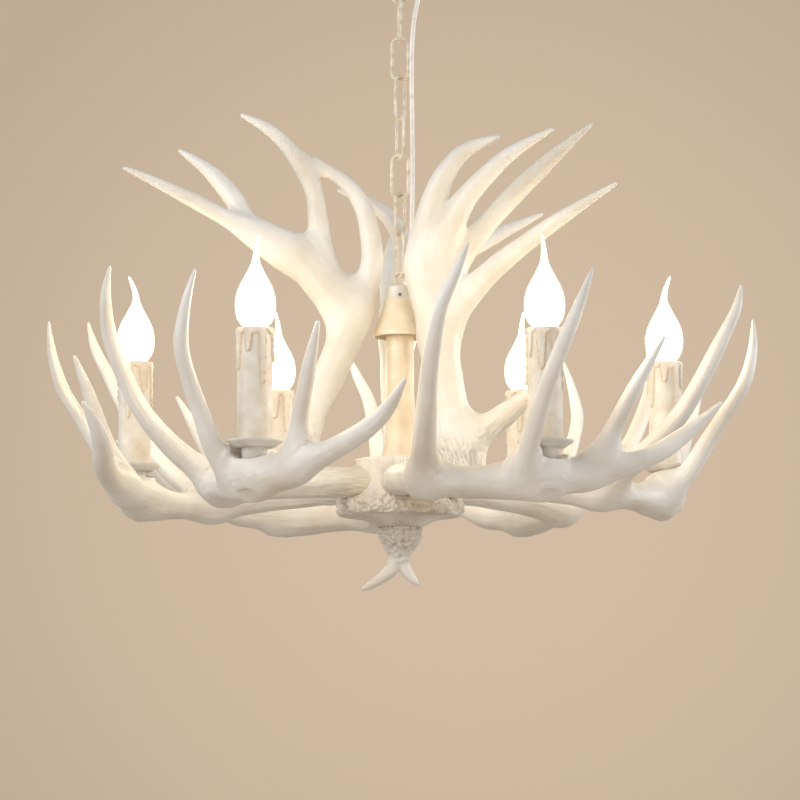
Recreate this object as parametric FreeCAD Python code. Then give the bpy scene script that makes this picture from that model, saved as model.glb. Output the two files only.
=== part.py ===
import FreeCAD, Part
import math
import os

# Antler chandelier with six candle lights, hung on a chain from the ceiling.
# Millimetres. +Z is up. The origin is the middle of the canopy's top face,
# where it meets the ceiling, and the chandelier hangs below it.
# The right-hand light stands on +X, and the lights count counter-clockwise.

V = FreeCAD.Vector
UP = V(0, 0, 1)

# ---- driving dimensions -------------------------------------------------

CLEAR = 0.3                 # gap between curved faces of two pieces
FIT = 0.15                  # gap round a screw, a rod or a tube in its hole

# canopy and what fixes it
CANOPY_D = 104.0
CANOPY_H = 27.0
CANOPY_WALL = 1.2
BAR_L = 86.0
BAR_W = 18.0
BAR_T = 2.0
SLOT_SPACING = 62.0
SLOT_L = 14.0
SLOT_W = 4.6
SHANK_D = 8.0
SHANK_HOLE_D = 8.6
HOOK_NUT_AF = 13.0
HOOK_NUT_T = 5.0
GRIP_D = 8.0
GRIP_FLANGE_D = 13.0
GRIP_BORE_D = 2.8
GRIP_X = 18.0
GRIP_L = 22.0
BLOCK_L = 22.0
BLOCK_W = 12.0
BLOCK_H = 9.0
BLOCK_INSET = 8.0           # from the bar's end to the terminal block

# chain, links and rings of round wire
WIRE_D = 3.2
LINK_L = 44.2               # outside length of a link
LINK_W = 18.5               # outside width of a link
LINK_COUNT = 7
LINK_TURNS = (98.0, 0.0, 56.0, 116.0, 178.0, 237.0, 298.0)
LINK_SIDES = 8              # flats round the wire
LINK_STEPS = 6              # flats along each half turn
RING_W = 17.2               # outside width of the canopy's ring
RING_L = 19.0
RING_DROP = 9.6             # from the canopy's underside to the ring's top
RING_TURN = 8.0
LOOP_W = 13.6               # outside width of the loop on the lamp
LOOP_L = 15.0
LOOP_H = 15.3               # from the collar's top to the loop's outside top
LOOP_TURN = 0.0
LOOP_SHANK_D = 6.0
SHANK_DEPTH = 5.2

# supply cable beside the chain
CABLE_D = 4.3

# middle column, cap and collar
COLLAR_D = 25.0
COLLAR_H = 11.2
GRUB_D = 3.2
CAP_TOP_D = 26.0
CAP_RIM_D = 50.0
CAP_H = 36.5
CAP_RIM_H = 3.5
CAP_WALL = 1.8
CAP_TOP_T = 15.5            # solid metal in the cap, above the column
COLUMN_D = 26.0
COLUMN_BORE_D = 22.0
COLUMN_H = 135.0
FOOT_D = 36.0
FOOT_H = 18.0
ROD_D = 10.0
ROD_BORE_D = 6.4
ROD_DEPTH = 4.6

# hub under the column
HUB_D = 88.0
HUB_H = 46.0
HUB_RIBS = 30
HUB_RIB_H = 2.0
CORONET_D = 118.0
CORONET_H = 7.0
PEARLS = 26
PEARL_H = 5.0
UNDER_H = 10.0
UNDER_D = 41.0
WIREWAY_D = 34.0
WIREWAY_H = 22.0
NUT_AF = 17.0
NUT_T = 6.0
NUT_RECESS_D = 21.0
NUT_RECESS_H = 8.0

# finial below the hub
FINIAL_BORE_H = 16.0
FINIAL_D = 38.0
FINIAL_H = 31.0
STEM_D = 17.0
PRONG_DROP = 27.0
LONG_PRONG_OUT = 36.0
SHORT_PRONG_OUT = 17.0

# candle lights
LIGHTS = 6
RING_R = 246.0              # from the column's axis to a candle's axis
SEAT_Z = -80.5              # foot of a candle cup, from DATUM
BOSS_D = 27.0
BOSS_H = 21.0
CUP_D = 22.0
CUP_H = 13.5
PAN_D = 51.0
PAN_H = 6.6
PAN_FLOOR_D = 33.0
PAN_WALL = 1.5
NIPPLE_D = 10.0
NIPPLE_BORE_D = 7.0
NIPPLE_DEPTH = 14.0         # how far the tube screws into the antler
SLEEVE_D = 30.0
SLEEVE_WALL = 1.6
SLEEVE_TOP = 35.0           # top of the candle, from DATUM
HOLDER_D = 25.0
HOLDER_H = 42.0
HOLDER_FLOOR = 6.0
SHELL_BORE_D = 14.8         # bore of the lampholder for the screw cap
CAP_D = 13.8                # screw cap of the bulb
CAP_L = 22.0
BULB_FOOT = 33.0            # where glass and cap meet, from DATUM
GLASS_D = 35.0
GLASS_H = 62.0
TAIL_L = 24.0
TAIL_LEAN = (6.0, 2.0, -3.0, -7.0, 2.5, -1.5)   # sideways reach of each glass tail

# screws that hold the antlers
DOWEL_D = 6.0
DOWEL_L = 46.0
BOLT_D = 6.0
BOLT_HEAD_AF = 10.0
BOLT_HEAD_T = 4.0
BOLT_GRIP = 24.0            # how far a bolt reaches into an upper antler
BOLT_DROP = 18.0            # from that antler's seat down to the bolt's head
UPPER_SEAT_Z = -68.0        # where an upper antler stands on a lower beam
UPPER_FEET = ((58, -35, 0), (-92, -60, 240), (-1, 70, 120))   # X, Y, antler's turn

# antlers: every beam or tine is a run of stations X, Y, Z and radius. Z is
# measured from DATUM, a level near the tops of the candles. On a lower antler X
# runs outward through its light and Y counter-clockwise, both as shares of RING_R.
DATUM = -432.0
SIDES = 10
BEAM_FLAT = 0.86            # height of a lower beam's section over its width
TRIM = 60.0                 # reach of the shapes that trim a seat or a foot

LOWER_BEAM = (
    (0.138, -0.081, -79, 17.5),
    (0.252, -0.138, -80, 16.5),
    (0.407, -0.195, -83, 16.5),
    (0.569, -0.252, -87, 16.5),
    (0.724, -0.297, -92, 17.0),
    (0.837, -0.228, -94, 15.0),
    (0.931, -0.089, -94, 17.0),
    (0.980, 0.061, -92, 15.5),
    (1.016, 0.183, -87, 12.5),
    (1.057, 0.309, -78, 11.5),
    (1.069, 0.415, -68, 10.5),
    (1.065, 0.496, -57, 9.5),
    (1.077, 0.581, -42, 7.0),
    (1.114, 0.659, -23.5, 2.0),
)
LOWER_TINES = (
    (
        (0.724, -0.317, -92, 10.0),
        (0.780, -0.358, -79, 10.0),
        (0.898, -0.415, -57, 8.6),
        (1.008, -0.467, -27, 7.6),
        (1.089, -0.496, 7, 7.0),
        (1.154, -0.508, 38, 6.2),
        (1.211, -0.484, 66, 4.6),
        (1.232, -0.455, 87, 1.6),
    ),
    (
        (0.959, -0.089, -92, 9.5),
        (1.057, -0.114, -74, 9.0),
        (1.138, -0.122, -44, 7.8),
        (1.220, -0.122, -14, 7.2),
        (1.289, -0.110, 14, 6.4),
        (1.325, -0.069, 46, 4.6),
        (1.333, -0.028, 72, 1.6),
    ),
    (
        (1.012, 0.163, -86, 9.0),
        (1.049, 0.199, -68, 8.0),
        (1.089, 0.244, -40, 6.8),
        (1.138, 0.309, -4, 4.8),
        (1.183, 0.366, 26, 1.4),
    ),
)

# upper antlers: X and Y as seen on the whole lamp
UPPER_LEFT = (
    (
        (-94, -62, -76, 15.0),
        (-90, -54, -50, 15.5),
        (-86, -44, -30, 15.5),
        (-80, -34, -9, 15.0),
        (-65, -22, 20, 15.0),
        (-50, -12, 58, 16.0),
        (-42, -6, 88, 16.0),
        (-31, -2, 108, 12.5),
        (-26, 0, 132, 10.8),
        (-28, 0, 156, 9.6),
        (-33, 0, 178, 8.6),
        (-45, 0, 199, 7.4),
        (-62, 0, 214, 5.6),
        (-82, 0, 227, 2.0),
    ),
    (
        (-46, -6, 84, 13.0),
        (-64, -4, 110, 12.0),
        (-73, -4, 140, 11.0),
        (-77, -4, 168, 9.8),
        (-80, -6, 192, 8.6),
        (-90, -8, 214, 7.4),
        (-106, -10, 238, 6.6),
        (-125, -12, 255, 5.2),
        (-146, -12, 266, 2.0),
    ),
    (
        (-50, -8, 78, 14.0),
        (-74, -10, 106, 14.5),
        (-98, -12, 134, 14.0),
        (-122, -10, 150, 11.0),
        (-140, -6, 164, 9.0),
        (-156, -2, 190, 9.0),
        (-174, 4, 212, 7.6),
        (-190, 8, 226, 5.4),
        (-206, 10, 237, 2.0),
    ),
    (
        (-104, -12, 136, 13.0),
        (-132, -18, 151, 10.5),
        (-162, -26, 167, 8.4),
        (-196, -34, 184, 7.0),
        (-226, -40, 198, 5.0),
        (-252, -44, 209, 2.0),
    ),
)
UPPER_RIGHT = (
    (
        (62, -36, -76, 18.0),
        (57, -35, -54, 18.5),
        (51, -32, -32, 18.5),
        (44, -30, -8, 18.0),
        (39, -31, 26, 17.5),
        (35, -32, 58, 16.5),
        (28, -31, 92, 16.0),
        (20, -28, 128, 15.0),
        (24, -34, 160, 12.0),
        (32, -40, 186, 10.6),
        (44, -46, 208, 9.2),
        (62, -50, 226, 7.4),
        (88, -54, 236, 2.0),
    ),
    (
        (26, -30, 118, 13.0),
        (44, -46, 150, 11.0),
        (60, -56, 178, 10.0),
        (80, -64, 200, 8.4),
        (104, -70, 220, 6.4),
        (137, -76, 238, 2.0),
    ),
    (
        (32, -24, 92, 13.5),
        (52, -26, 124, 12.0),
        (78, -30, 158, 10.5),
        (108, -34, 190, 9.2),
        (140, -38, 220, 7.2),
        (175, -42, 250, 2.0),
    ),
    (
        (36, -26, 56, 13.5),
        (56, -36, 84, 12.0),
        (82, -48, 112, 10.4),
        (116, -60, 138, 8.6),
        (152, -70, 162, 6.4),
        (194, -78, 187, 2.0),
    ),
    (
        (54, -33, -38, 13.0),
        (76, -42, -32, 12.0),
        (100, -52, -16, 10.0),
        (126, -62, 6, 3.0),
    ),
)
UPPER_REAR = (
    (
        (-1, 72, -76, 16.0),
        (-1, 70, -54, 16.5),
        (0, 66, -30, 16.5),
        (-2, 58, 0, 16.0),
        (-4, 52, 40, 15.5),
        (-2, 48, 76, 15.0),
        (2, 46, 108, 13.0),
        (6, 48, 136, 11.0),
        (2, 56, 162, 9.2),
        (-12, 66, 186, 7.4),
        (-34, 80, 204, 5.4),
        (-58, 92, 216, 2.0),
    ),
    (
        (2, 50, 96, 12.0),
        (26, 66, 124, 11.0),
        (48, 84, 146, 9.6),
        (78, 104, 166, 8.0),
        (108, 120, 184, 6.0),
        (138, 132, 200, 2.0),
    ),
    (
        (-2, 54, 70, 12.0),
        (-8, 84, 100, 11.0),
        (-10, 116, 132, 9.6),
        (-8, 150, 166, 7.6),
        (-2, 186, 200, 2.0),
    ),
)

# ---- worked-out heights -------------------------------------------------

PITCH = LINK_L - 2 * WIRE_D                     # inside length of a link
GAP = 0.4                                       # wire to wire, as they hang
RING_TOP = -CANOPY_H - RING_DROP
RING_BOTTOM = RING_TOP - RING_L + WIRE_D / 2    # middle of the ring's lowest wire
FIRST_MIDDLE = RING_BOTTOM + WIRE_D + GAP + WIRE_D / 2 - LINK_L / 2


def link_middle(number):
    """Height of the middle of a link, the first being number 0."""
    return FIRST_MIDDLE - number * (PITCH - GAP)


LAST_BOTTOM = link_middle(LINK_COUNT - 1) - LINK_L / 2 + WIRE_D / 2
LOOP_TOP = LAST_BOTTOM + WIRE_D + GAP + WIRE_D / 2
COLLAR_TOP = LOOP_TOP - LOOP_H
COLLAR_BOTTOM = COLLAR_TOP - COLLAR_H
CAP_BOTTOM = COLLAR_BOTTOM - CAP_H
COLUMN_TOP = COLLAR_BOTTOM - CAP_TOP_T
HUB_TOP = COLUMN_TOP - COLUMN_H
HUB_BOTTOM = HUB_TOP - HUB_H
FINIAL_TOP = HUB_BOTTOM - CORONET_H - UNDER_H

# ---- helpers ------------------------------------------------------------


def revolve(profile, at=V(0, 0, 0)):
    """Solid turned round Z from radius and height pairs."""
    points = [V(r, 0, z) for r, z in profile]
    face = Part.Face(Part.makePolygon(points + [points[0]]))
    solid = face.revolve(V(0, 0, 0), UP, 360)
    solid.translate(at)
    return solid


def prism(corners, height):
    """Upright prism on a closed outline."""
    return Part.Face(Part.makePolygon(corners + [corners[0]])).extrude(V(0, 0, height))


def hexagon(across, height, base):
    """Hexagonal prism standing on the point base."""
    radius = across / math.sqrt(3)
    corners = []
    for i in range(6):
        angle = math.radians(60 * i)
        corners.append(base + V(radius * math.cos(angle), radius * math.sin(angle), 0))
    return prism(corners, height)


def nut(across, height, bore, base):
    """Hexagonal nut with a plain bore."""
    return hexagon(across, height, base).cut(Part.makeCylinder(bore / 2, height, base))


def scalloped(outer, depth, count, z):
    """Closed outline of a ring of low bumps, such as ribs or pearls."""
    corners = []
    for i in range(2 * count):
        angle = math.pi * i / count
        radius = outer if i % 2 == 0 else outer - depth
        corners.append(V(radius * math.cos(angle), radius * math.sin(angle), z))
    return Part.makePolygon(corners + [corners[0]])


def turned(shape, degrees):
    """Copy of a shape turned round the lamp's own axis."""
    copy = shape.copy()
    copy.rotate(V(0, 0, 0), UP, degrees)
    return copy


def section(middle, direction, side, radius, flat, sides):
    """Closed polygon of a wire or an antler, square to its direction."""
    rise = direction.cross(side)
    corners = []
    for i in range(sides):
        angle = 2 * math.pi * (i + 0.5) / sides
        across = side * (radius * math.cos(angle))
        corners.append(middle + across + rise * (radius * flat * math.sin(angle)))
    return Part.makePolygon(corners + [corners[0]])


def tapered(stations, flat=1.0):
    """Loft through sections along a beam or tine, ended by its blunt tip."""
    middles = [V(x, y, z + DATUM) for x, y, z, r in stations]
    wires = []
    side = None
    last = len(middles) - 1
    for i, middle in enumerate(middles):
        direction = middles[min(i + 1, last)] - middles[max(i - 1, 0)]
        direction.normalize()
        if side is None:
            side = direction.cross(UP)
            if side.Length < 0.3:
                side = direction.cross(V(0, 1, 0))
        side = side - direction * side.dot(direction)
        side.normalize()
        wires.append(section(middle, direction, side, stations[i][3], flat, SIDES))
    return Part.makeLoft(wires, True, True)


def spread(stations):
    """Stations of a lower antler in millimetres, from their shares of the ring."""
    return [(x * RING_R, y * RING_R, z, r) for x, y, z, r in stations]


def antler(beam, tines, flat=1.0):
    """One antler: the beam and its tines grown into one body."""
    body = tapered(beam, flat)
    for tine in tines:
        body = body.fuse(tapered(tine))
    return body


def bent_rod(points, normal, radius):
    """Round wire, with flats, swept through points of one plane."""
    wires = []
    last = len(points) - 1
    for i, point in enumerate(points):
        direction = points[min(i + 1, last)] - points[max(i - 1, 0)]
        direction.normalize()
        wires.append(section(point, direction, normal, radius, 1.0, LINK_SIDES))
    return Part.makeLoft(wires, True, True)


def wire_link(top, length, width, degrees):
    """Closed oval of round wire, upright, its outside top at the height top."""
    middle_z = top - length / 2
    radius = (width - WIRE_D) / 2
    straight = length - width
    points = [V(radius, 0, middle_z)]
    for i in range(LINK_STEPS + 1):
        angle = math.pi * i / LINK_STEPS
        z = middle_z - straight / 2 - radius * math.sin(angle)
        points.append(V(radius * math.cos(angle), 0, z))
    points.append(V(-radius, 0, middle_z))
    lower = bent_rod(points, V(0, 1, 0), WIRE_D / 2)
    upper = lower.copy()
    upper.rotate(V(0, 0, middle_z), V(0, 1, 0), 180)
    return turned(lower.fuse(upper), degrees)


def save(node, shape):
    """Write one piece and say how big it is."""
    shape.exportStep("parts/" + node + ".step")
    print(node, len(shape.Solids), round(shape.Volume, 1), shape.isValid())


os.makedirs("parts", exist_ok=True)

# ---- canopy -------------------------------------------------------------

rim = CANOPY_D / 2
shoulder = CANOPY_H * 0.45
canopy = revolve([
    (rim, 0),
    (rim, -shoulder / 2),
    (rim - 6, -shoulder),
    (rim / 2, -CANOPY_H + 3),
    (SHANK_D, -CANOPY_H),
    (SHANK_HOLE_D / 2, -CANOPY_H),
    (SHANK_HOLE_D / 2, -CANOPY_H + CANOPY_WALL),
    (SHANK_D, -CANOPY_H + CANOPY_WALL),
    (rim / 2, -CANOPY_H + 3 + CANOPY_WALL),
    (rim - 6 - CANOPY_WALL, -shoulder + CANOPY_WALL),
    (rim - CANOPY_WALL, -shoulder / 2 + CANOPY_WALL / 2),
    (rim - CANOPY_WALL, 0),
])
grip_axis = V(GRIP_X, 0, -CANOPY_H)
canopy = canopy.cut(Part.makeCylinder(GRIP_D / 2 + FIT, CANOPY_H, grip_axis))

bar = Part.makeBox(BAR_L, BAR_W, BAR_T, V(-BAR_L / 2, -BAR_W / 2, -BAR_T))
for x in (-SLOT_SPACING / 2, SLOT_SPACING / 2):
    half = (SLOT_L - SLOT_W) / 2
    slot = Part.makeBox(2 * half, SLOT_W, BAR_T, V(x - half, -SLOT_W / 2, -BAR_T))
    for end in (-half, half):
        slot = slot.fuse(Part.makeCylinder(SLOT_W / 2, BAR_T, V(x + end, 0, -BAR_T)))
    bar = bar.cut(slot)
bar = bar.cut(Part.makeCylinder(SHANK_D / 2 + FIT, BAR_T, V(0, 0, -BAR_T)))

ring = wire_link(RING_TOP, RING_L, RING_W, RING_TURN)
shank_foot = RING_TOP - WIRE_D / 2
ring = ring.fuse(Part.makeCylinder(SHANK_D / 2, -shank_foot, V(0, 0, shank_foot)))
hook_nuts = Part.makeCompound([
    nut(HOOK_NUT_AF, HOOK_NUT_T, SHANK_D + 2 * FIT, V(0, 0, -BAR_T - HOOK_NUT_T)),
    nut(HOOK_NUT_AF, HOOK_NUT_T, SHANK_D + 2 * FIT, V(0, 0, -CANOPY_H - HOOK_NUT_T)),
])
flange_top = -CANOPY_H - CLEAR
grip_foot = flange_top - 8.0
grip = revolve([
    (GRIP_BORE_D / 2, grip_foot),
    (GRIP_D / 2, grip_foot),
    (GRIP_D / 2, flange_top - 2.5),
    (GRIP_FLANGE_D / 2, flange_top - 2.5),
    (GRIP_FLANGE_D / 2, flange_top),
    (GRIP_D / 2, flange_top),
    (GRIP_D / 2, grip_foot + GRIP_L),
    (GRIP_BORE_D / 2, grip_foot + GRIP_L),
], V(GRIP_X, 0, 0))
block_corner = V(-BAR_L / 2 + BLOCK_INSET, -BLOCK_W / 2, -BAR_T - BLOCK_H)
block = Part.makeBox(BLOCK_L, BLOCK_W, BLOCK_H, block_corner)
for i in range(3):
    way = block_corner + V((i + 0.5) * BLOCK_L / 3, 0, BLOCK_H / 2)
    block = block.cut(Part.makeCylinder(1.8, BLOCK_W, way, V(0, 1, 0)))

save("canopy", canopy)
save("mounting_bar", bar)
save("ceiling_hook", ring)
save("hook_nuts", hook_nuts)
save("cable_grip", grip)
save("terminal_block", block)

# ---- chain --------------------------------------------------------------

for k in range(LINK_COUNT):
    link_top = link_middle(k) + LINK_L / 2
    save("chain_link_%d" % (k + 1), wire_link(link_top, LINK_L, LINK_W, LINK_TURNS[k]))

# ---- supply cable, from the grip in the canopy to the collar ------------

CABLE_ROUTE = [
    V(GRIP_X, 0, grip_foot),
    V(17.4, -2.0, -50),
    V(12.6, -4.6, -72),
    V(10.6, -5.4, -110),
    V(11.2, -5.0, -160),
    V(11.9, -4.6, -215),
    V(11.2, -5.2, -262),
    V(9.7, -6.4, -297),
    V(6.9, -6.9, -314),
    V(6.4, -6.6, COLLAR_TOP),
]


def rounded_route(points):
    """Straight runs joined by tangent arcs, as large as the runs allow."""
    edges = []
    start = points[0]
    for before, corner, after in zip(points, points[1:], points[2:]):
        back = before - corner
        ahead = after - corner
        reach = 0.45 * min(back.Length, ahead.Length)
        turn = math.pi - back.getAngle(ahead)
        radius = reach / math.tan(turn / 2)
        print("arc radius", round(radius, 1))
        back.normalize()
        ahead.normalize()
        bisector = back + ahead
        bisector.normalize()
        depth = radius / math.cos(turn / 2) - radius
        first = corner + back * reach
        final = corner + ahead * reach
        edges.append(Part.LineSegment(start, first).toShape())
        edges.append(Part.Arc(first, corner + bisector * depth, final).toShape())
        start = final
    edges.append(Part.LineSegment(start, points[-1]).toShape())
    return Part.Wire(edges)


route = rounded_route(CABLE_ROUTE)
first_run = CABLE_ROUTE[1] - CABLE_ROUTE[0]
cable_end = Part.Wire([Part.makeCircle(CABLE_D / 2, CABLE_ROUTE[0], first_run)])
cable = route.makePipeShell([cable_end], True, False)
ends = Part.makeBox(60, 60, 60, V(-30, -30, grip_foot))
ends = ends.fuse(Part.makeBox(60, 60, 60, V(-30, -30, COLLAR_TOP - 60)))
cable = cable.cut(ends)
print("cable", round(route.Length, 1), round(cable.Volume / route.Length, 3))
save("supply_cable", cable)

# ---- loop, collar, cap, column and rod ----------------------------------

loop = wire_link(LOOP_TOP, LOOP_L, LOOP_W, LOOP_TURN)
loop_shank_z = COLLAR_TOP - SHANK_DEPTH
shank_l = LOOP_TOP - LOOP_L + WIRE_D / 2 - loop_shank_z
loop = loop.fuse(Part.makeCylinder(LOOP_SHANK_D / 2, shank_l, V(0, 0, loop_shank_z)))
save("hanging_loop", loop)

rod_r = ROD_D / 2 + FIT
rod_top = COLLAR_BOTTOM + ROD_DEPTH
collar = revolve([
    (0, COLLAR_TOP - SHANK_DEPTH - FIT),
    (LOOP_SHANK_D / 2 + FIT, COLLAR_TOP - SHANK_DEPTH - FIT),
    (LOOP_SHANK_D / 2 + FIT, COLLAR_TOP),
    (COLLAR_D / 2 - 1, COLLAR_TOP),
    (COLLAR_D / 2, COLLAR_TOP - 1),
    (COLLAR_D / 2, COLLAR_BOTTOM),
    (rod_r, COLLAR_BOTTOM),
    (rod_r, rod_top + FIT),
    (0, rod_top + FIT),
])
grub_z = COLLAR_BOTTOM + ROD_DEPTH / 2
grub_foot = V(0, -ROD_D / 2 - CLEAR, grub_z)
grub_l = COLLAR_D / 2 - ROD_D / 2 - CLEAR - 1.2
grub_way = Part.makeCylinder(GRUB_D / 2 + FIT, COLLAR_D / 2, V(0, 0, grub_z), V(0, -1, 0))
collar = collar.cut(grub_way)
save("top_collar", collar)
save("grub_screw", Part.makeCylinder(GRUB_D / 2, grub_l, grub_foot, V(0, -1, 0)))

cap_r = CAP_RIM_D / 2
slope = (cap_r - CAP_TOP_D / 2) / (CAP_H - CAP_RIM_H)
inside_r = CAP_TOP_D / 2 + slope * CAP_TOP_T - CAP_WALL
cap = revolve([
    (rod_r, COLLAR_BOTTOM),
    (CAP_TOP_D / 2, COLLAR_BOTTOM),
    (cap_r, CAP_BOTTOM + CAP_RIM_H),
    (cap_r, CAP_BOTTOM),
    (cap_r - CAP_WALL, CAP_BOTTOM),
    (cap_r - CAP_WALL, CAP_BOTTOM + CAP_RIM_H),
    (inside_r, COLUMN_TOP),
    (rod_r, COLUMN_TOP),
])
save("column_cap", cap)

column_r = COLUMN_D / 2
column = revolve([
    (COLUMN_BORE_D / 2, COLUMN_TOP),
    (column_r, COLUMN_TOP),
    (column_r, HUB_TOP + FOOT_H),
    (column_r + 1.5, HUB_TOP + FOOT_H * 0.6),
    (FOOT_D / 2, HUB_TOP + FOOT_H * 0.2),
    (FOOT_D / 2, HUB_TOP),
    (COLUMN_BORE_D / 2, HUB_TOP),
])
save("column", column)

rod_foot = FINIAL_TOP - FINIAL_BORE_H + FIT
rod = revolve([
    (ROD_BORE_D / 2, rod_foot),
    (ROD_D / 2, rod_foot),
    (ROD_D / 2, rod_top),
    (ROD_BORE_D / 2, rod_top),
])
save("tie_rod", rod)

# ---- hub with its ribs, its pearled coronet and the nuts ----------------

hub_r = HUB_D / 2
ribs = [scalloped(hub_r, HUB_RIB_H, HUB_RIBS, z) for z in (HUB_TOP, HUB_BOTTOM)]
hub = Part.makeLoft(ribs, True, True)
coronet_r = CORONET_D / 2
pearl_rows = [
    scalloped(coronet_r - 12, PEARL_H * 0.6, PEARLS, HUB_BOTTOM + CORONET_H * 0.6),
    scalloped(coronet_r, PEARL_H, PEARLS, HUB_BOTTOM),
    scalloped(coronet_r - 2, PEARL_H, PEARLS, HUB_BOTTOM - CORONET_H * 0.6),
    scalloped(coronet_r - 8, PEARL_H * 0.6, PEARLS, HUB_BOTTOM - CORONET_H),
]
hub = hub.fuse(Part.makeLoft(pearl_rows, True, True))
under = revolve([
    (0, HUB_BOTTOM - CORONET_H),
    (coronet_r - 14, HUB_BOTTOM - CORONET_H),
    (UNDER_D / 2, FINIAL_TOP),
    (0, FINIAL_TOP),
])
hub = hub.fuse(under)
hub = hub.cut(Part.makeCylinder(rod_r, HUB_TOP - FINIAL_TOP, V(0, 0, FINIAL_TOP)))
wireway_z = HUB_TOP - (HUB_H + WIREWAY_H) / 2
hub = hub.cut(Part.makeCylinder(WIREWAY_D / 2, WIREWAY_H, V(0, 0, wireway_z)))
recess = Part.makeCylinder(NUT_RECESS_D / 2, NUT_RECESS_H, V(0, 0, FINIAL_TOP))
hub = hub.cut(recess)

lower_beam = spread(LOWER_BEAM)
root_x, root_y, root_z, root_r = lower_beam[0]
next_x, next_y, next_z, next_r = lower_beam[1]
root_way = V(next_x - root_x, next_y - root_y, 0)
root_way.normalize()
dowel_mid = V(root_x, root_y, root_z + DATUM) + root_way * (hub_r - V(root_x, root_y, 0).Length)


def dowel(length, radius, turn):
    """Screw that runs from the hub into the root of one lower antler."""
    foot = dowel_mid - root_way * (length / 2)
    return turned(Part.makeCylinder(radius, length, foot, root_way), turn)


turns = [360.0 * i / LIGHTS for i in range(LIGHTS)]
for turn in turns:
    hub = hub.cut(dowel(DOWEL_L + 2 * FIT, DOWEL_D / 2 + FIT, turn))
save("hub", hub)

save("hub_nuts", Part.makeCompound([
    nut(NUT_AF, NUT_T, 2 * rod_r, V(0, 0, HUB_TOP)),
    nut(NUT_AF, NUT_T, 2 * rod_r, V(0, 0, FINIAL_TOP + NUT_RECESS_H - NUT_T)),
]))

# ---- finial with its two prongs -----------------------------------------

stem_z = FINIAL_TOP - FINIAL_H
finial = revolve([
    (0, FINIAL_TOP),
    (FINIAL_D * 0.5, FINIAL_TOP),
    (FINIAL_D * 0.53, FINIAL_TOP - FINIAL_H * 0.2),
    (FINIAL_D * 0.44, FINIAL_TOP - FINIAL_H * 0.5),
    (STEM_D / 2 + 2, FINIAL_TOP - FINIAL_H * 0.8),
    (STEM_D / 2, stem_z),
    (0, stem_z - 2),
])


def prong(out, drop, thick):
    """Smooth tine that curves down and outward from the stem."""
    top = stem_z + 5 - DATUM
    return tapered([
        (out * 0.04, 0, top, thick),
        (out * 0.20, 0, top - drop * 0.35, thick * 0.92),
        (out * 0.46, 0, top - drop * 0.62, thick * 0.76),
        (out * 0.78, 0, top - drop * 0.86, thick * 0.52),
        (out, 0, top - drop * 0.97, 1.4),
    ])


finial = finial.fuse(prong(-LONG_PRONG_OUT, PRONG_DROP + 5, STEM_D * 0.42))
finial = finial.fuse(prong(SHORT_PRONG_OUT, PRONG_DROP, STEM_D * 0.38))
finial = finial.cut(Part.makeCylinder(rod_r, FINIAL_BORE_H, V(0, 0, FINIAL_TOP - FINIAL_BORE_H)))
save("finial", finial)

# ---- lower antlers ------------------------------------------------------

seat_z = SEAT_Z + DATUM
upper_seat_z = UPPER_SEAT_Z + DATUM
boss = tapered([
    (RING_R, 0, SEAT_Z - BOSS_H, BOSS_D * 0.3),
    (RING_R, 0, SEAT_Z - BOSS_H / 2, BOSS_D * 0.5),
    (RING_R, 0, SEAT_Z, BOSS_D * 0.5),
])
lower_tines = [spread(tine) for tine in LOWER_TINES]
lower = antler(lower_beam, lower_tines, BEAM_FLAT).fuse(boss)
lower = lower.cut(Part.makeCylinder(CUP_D / 2 + 2, CUP_H, V(RING_R, 0, seat_z)))
nipple_hole_z = seat_z - NIPPLE_DEPTH - FIT
nipple_hole = Part.makeCylinder(NIPPLE_D / 2 + FIT, 30, V(RING_R, 0, nipple_hole_z))
lower = lower.cut(nipple_hole)
lower = lower.cut(Part.makeCylinder(hub_r + CLEAR, 90, V(0, 0, HUB_BOTTOM)))
lower = lower.cut(dowel(DOWEL_L + 2 * FIT, DOWEL_D / 2 + FIT, 0))


def bolt_way(foot_x, foot_y, bottom, top, radius):
    """Upright cylinder where an upper antler's bolt runs."""
    return Part.makeCylinder(radius, top - bottom, V(foot_x, foot_y, bottom))


for k, turn in enumerate(turns):
    piece = turned(lower, turn)
    for foot_x, foot_y, under_turn in UPPER_FEET:
        if under_turn == turn:
            seat = Part.makeCylinder(TRIM / 2, TRIM, V(foot_x, foot_y, upper_seat_z))
            low_z = upper_seat_z - TRIM
            hole = bolt_way(foot_x, foot_y, low_z, upper_seat_z, BOLT_D / 2 + FIT)
            head_z = upper_seat_z - BOLT_DROP
            head = bolt_way(foot_x, foot_y, low_z, head_z, BOLT_HEAD_AF * 0.6 + FIT)
            piece = piece.cut(seat).cut(hole).cut(head)
    save("lower_antler_%d" % (k + 1), piece)

# ---- upper antlers ------------------------------------------------------

uppers = (UPPER_RIGHT, UPPER_LEFT, UPPER_REAR)
bolts = [dowel(DOWEL_L, DOWEL_D / 2, turn) for turn in turns]
for k, stations in enumerate(uppers):
    foot_x, foot_y, under_turn = UPPER_FEET[k]
    piece = antler(stations[0], stations[1:])
    corner = V(foot_x - TRIM, foot_y - TRIM, upper_seat_z - TRIM)
    below = Part.makeBox(2 * TRIM, 2 * TRIM, TRIM, corner)
    top = upper_seat_z + BOLT_GRIP
    hole = bolt_way(foot_x, foot_y, upper_seat_z, top + FIT, BOLT_D / 2 + FIT)
    piece = piece.cut(below).cut(hole)
    save("upper_antler_%d" % (k + 1), piece)
    head_z = upper_seat_z - BOLT_DROP
    rod_part = bolt_way(foot_x, foot_y, head_z, top, BOLT_D / 2)
    base = V(foot_x, foot_y, head_z - BOLT_HEAD_T)
    bolts.append(rod_part.fuse(hexagon(BOLT_HEAD_AF, BOLT_HEAD_T, base)))
save("antler_screws", Part.makeCompound(bolts))

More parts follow.
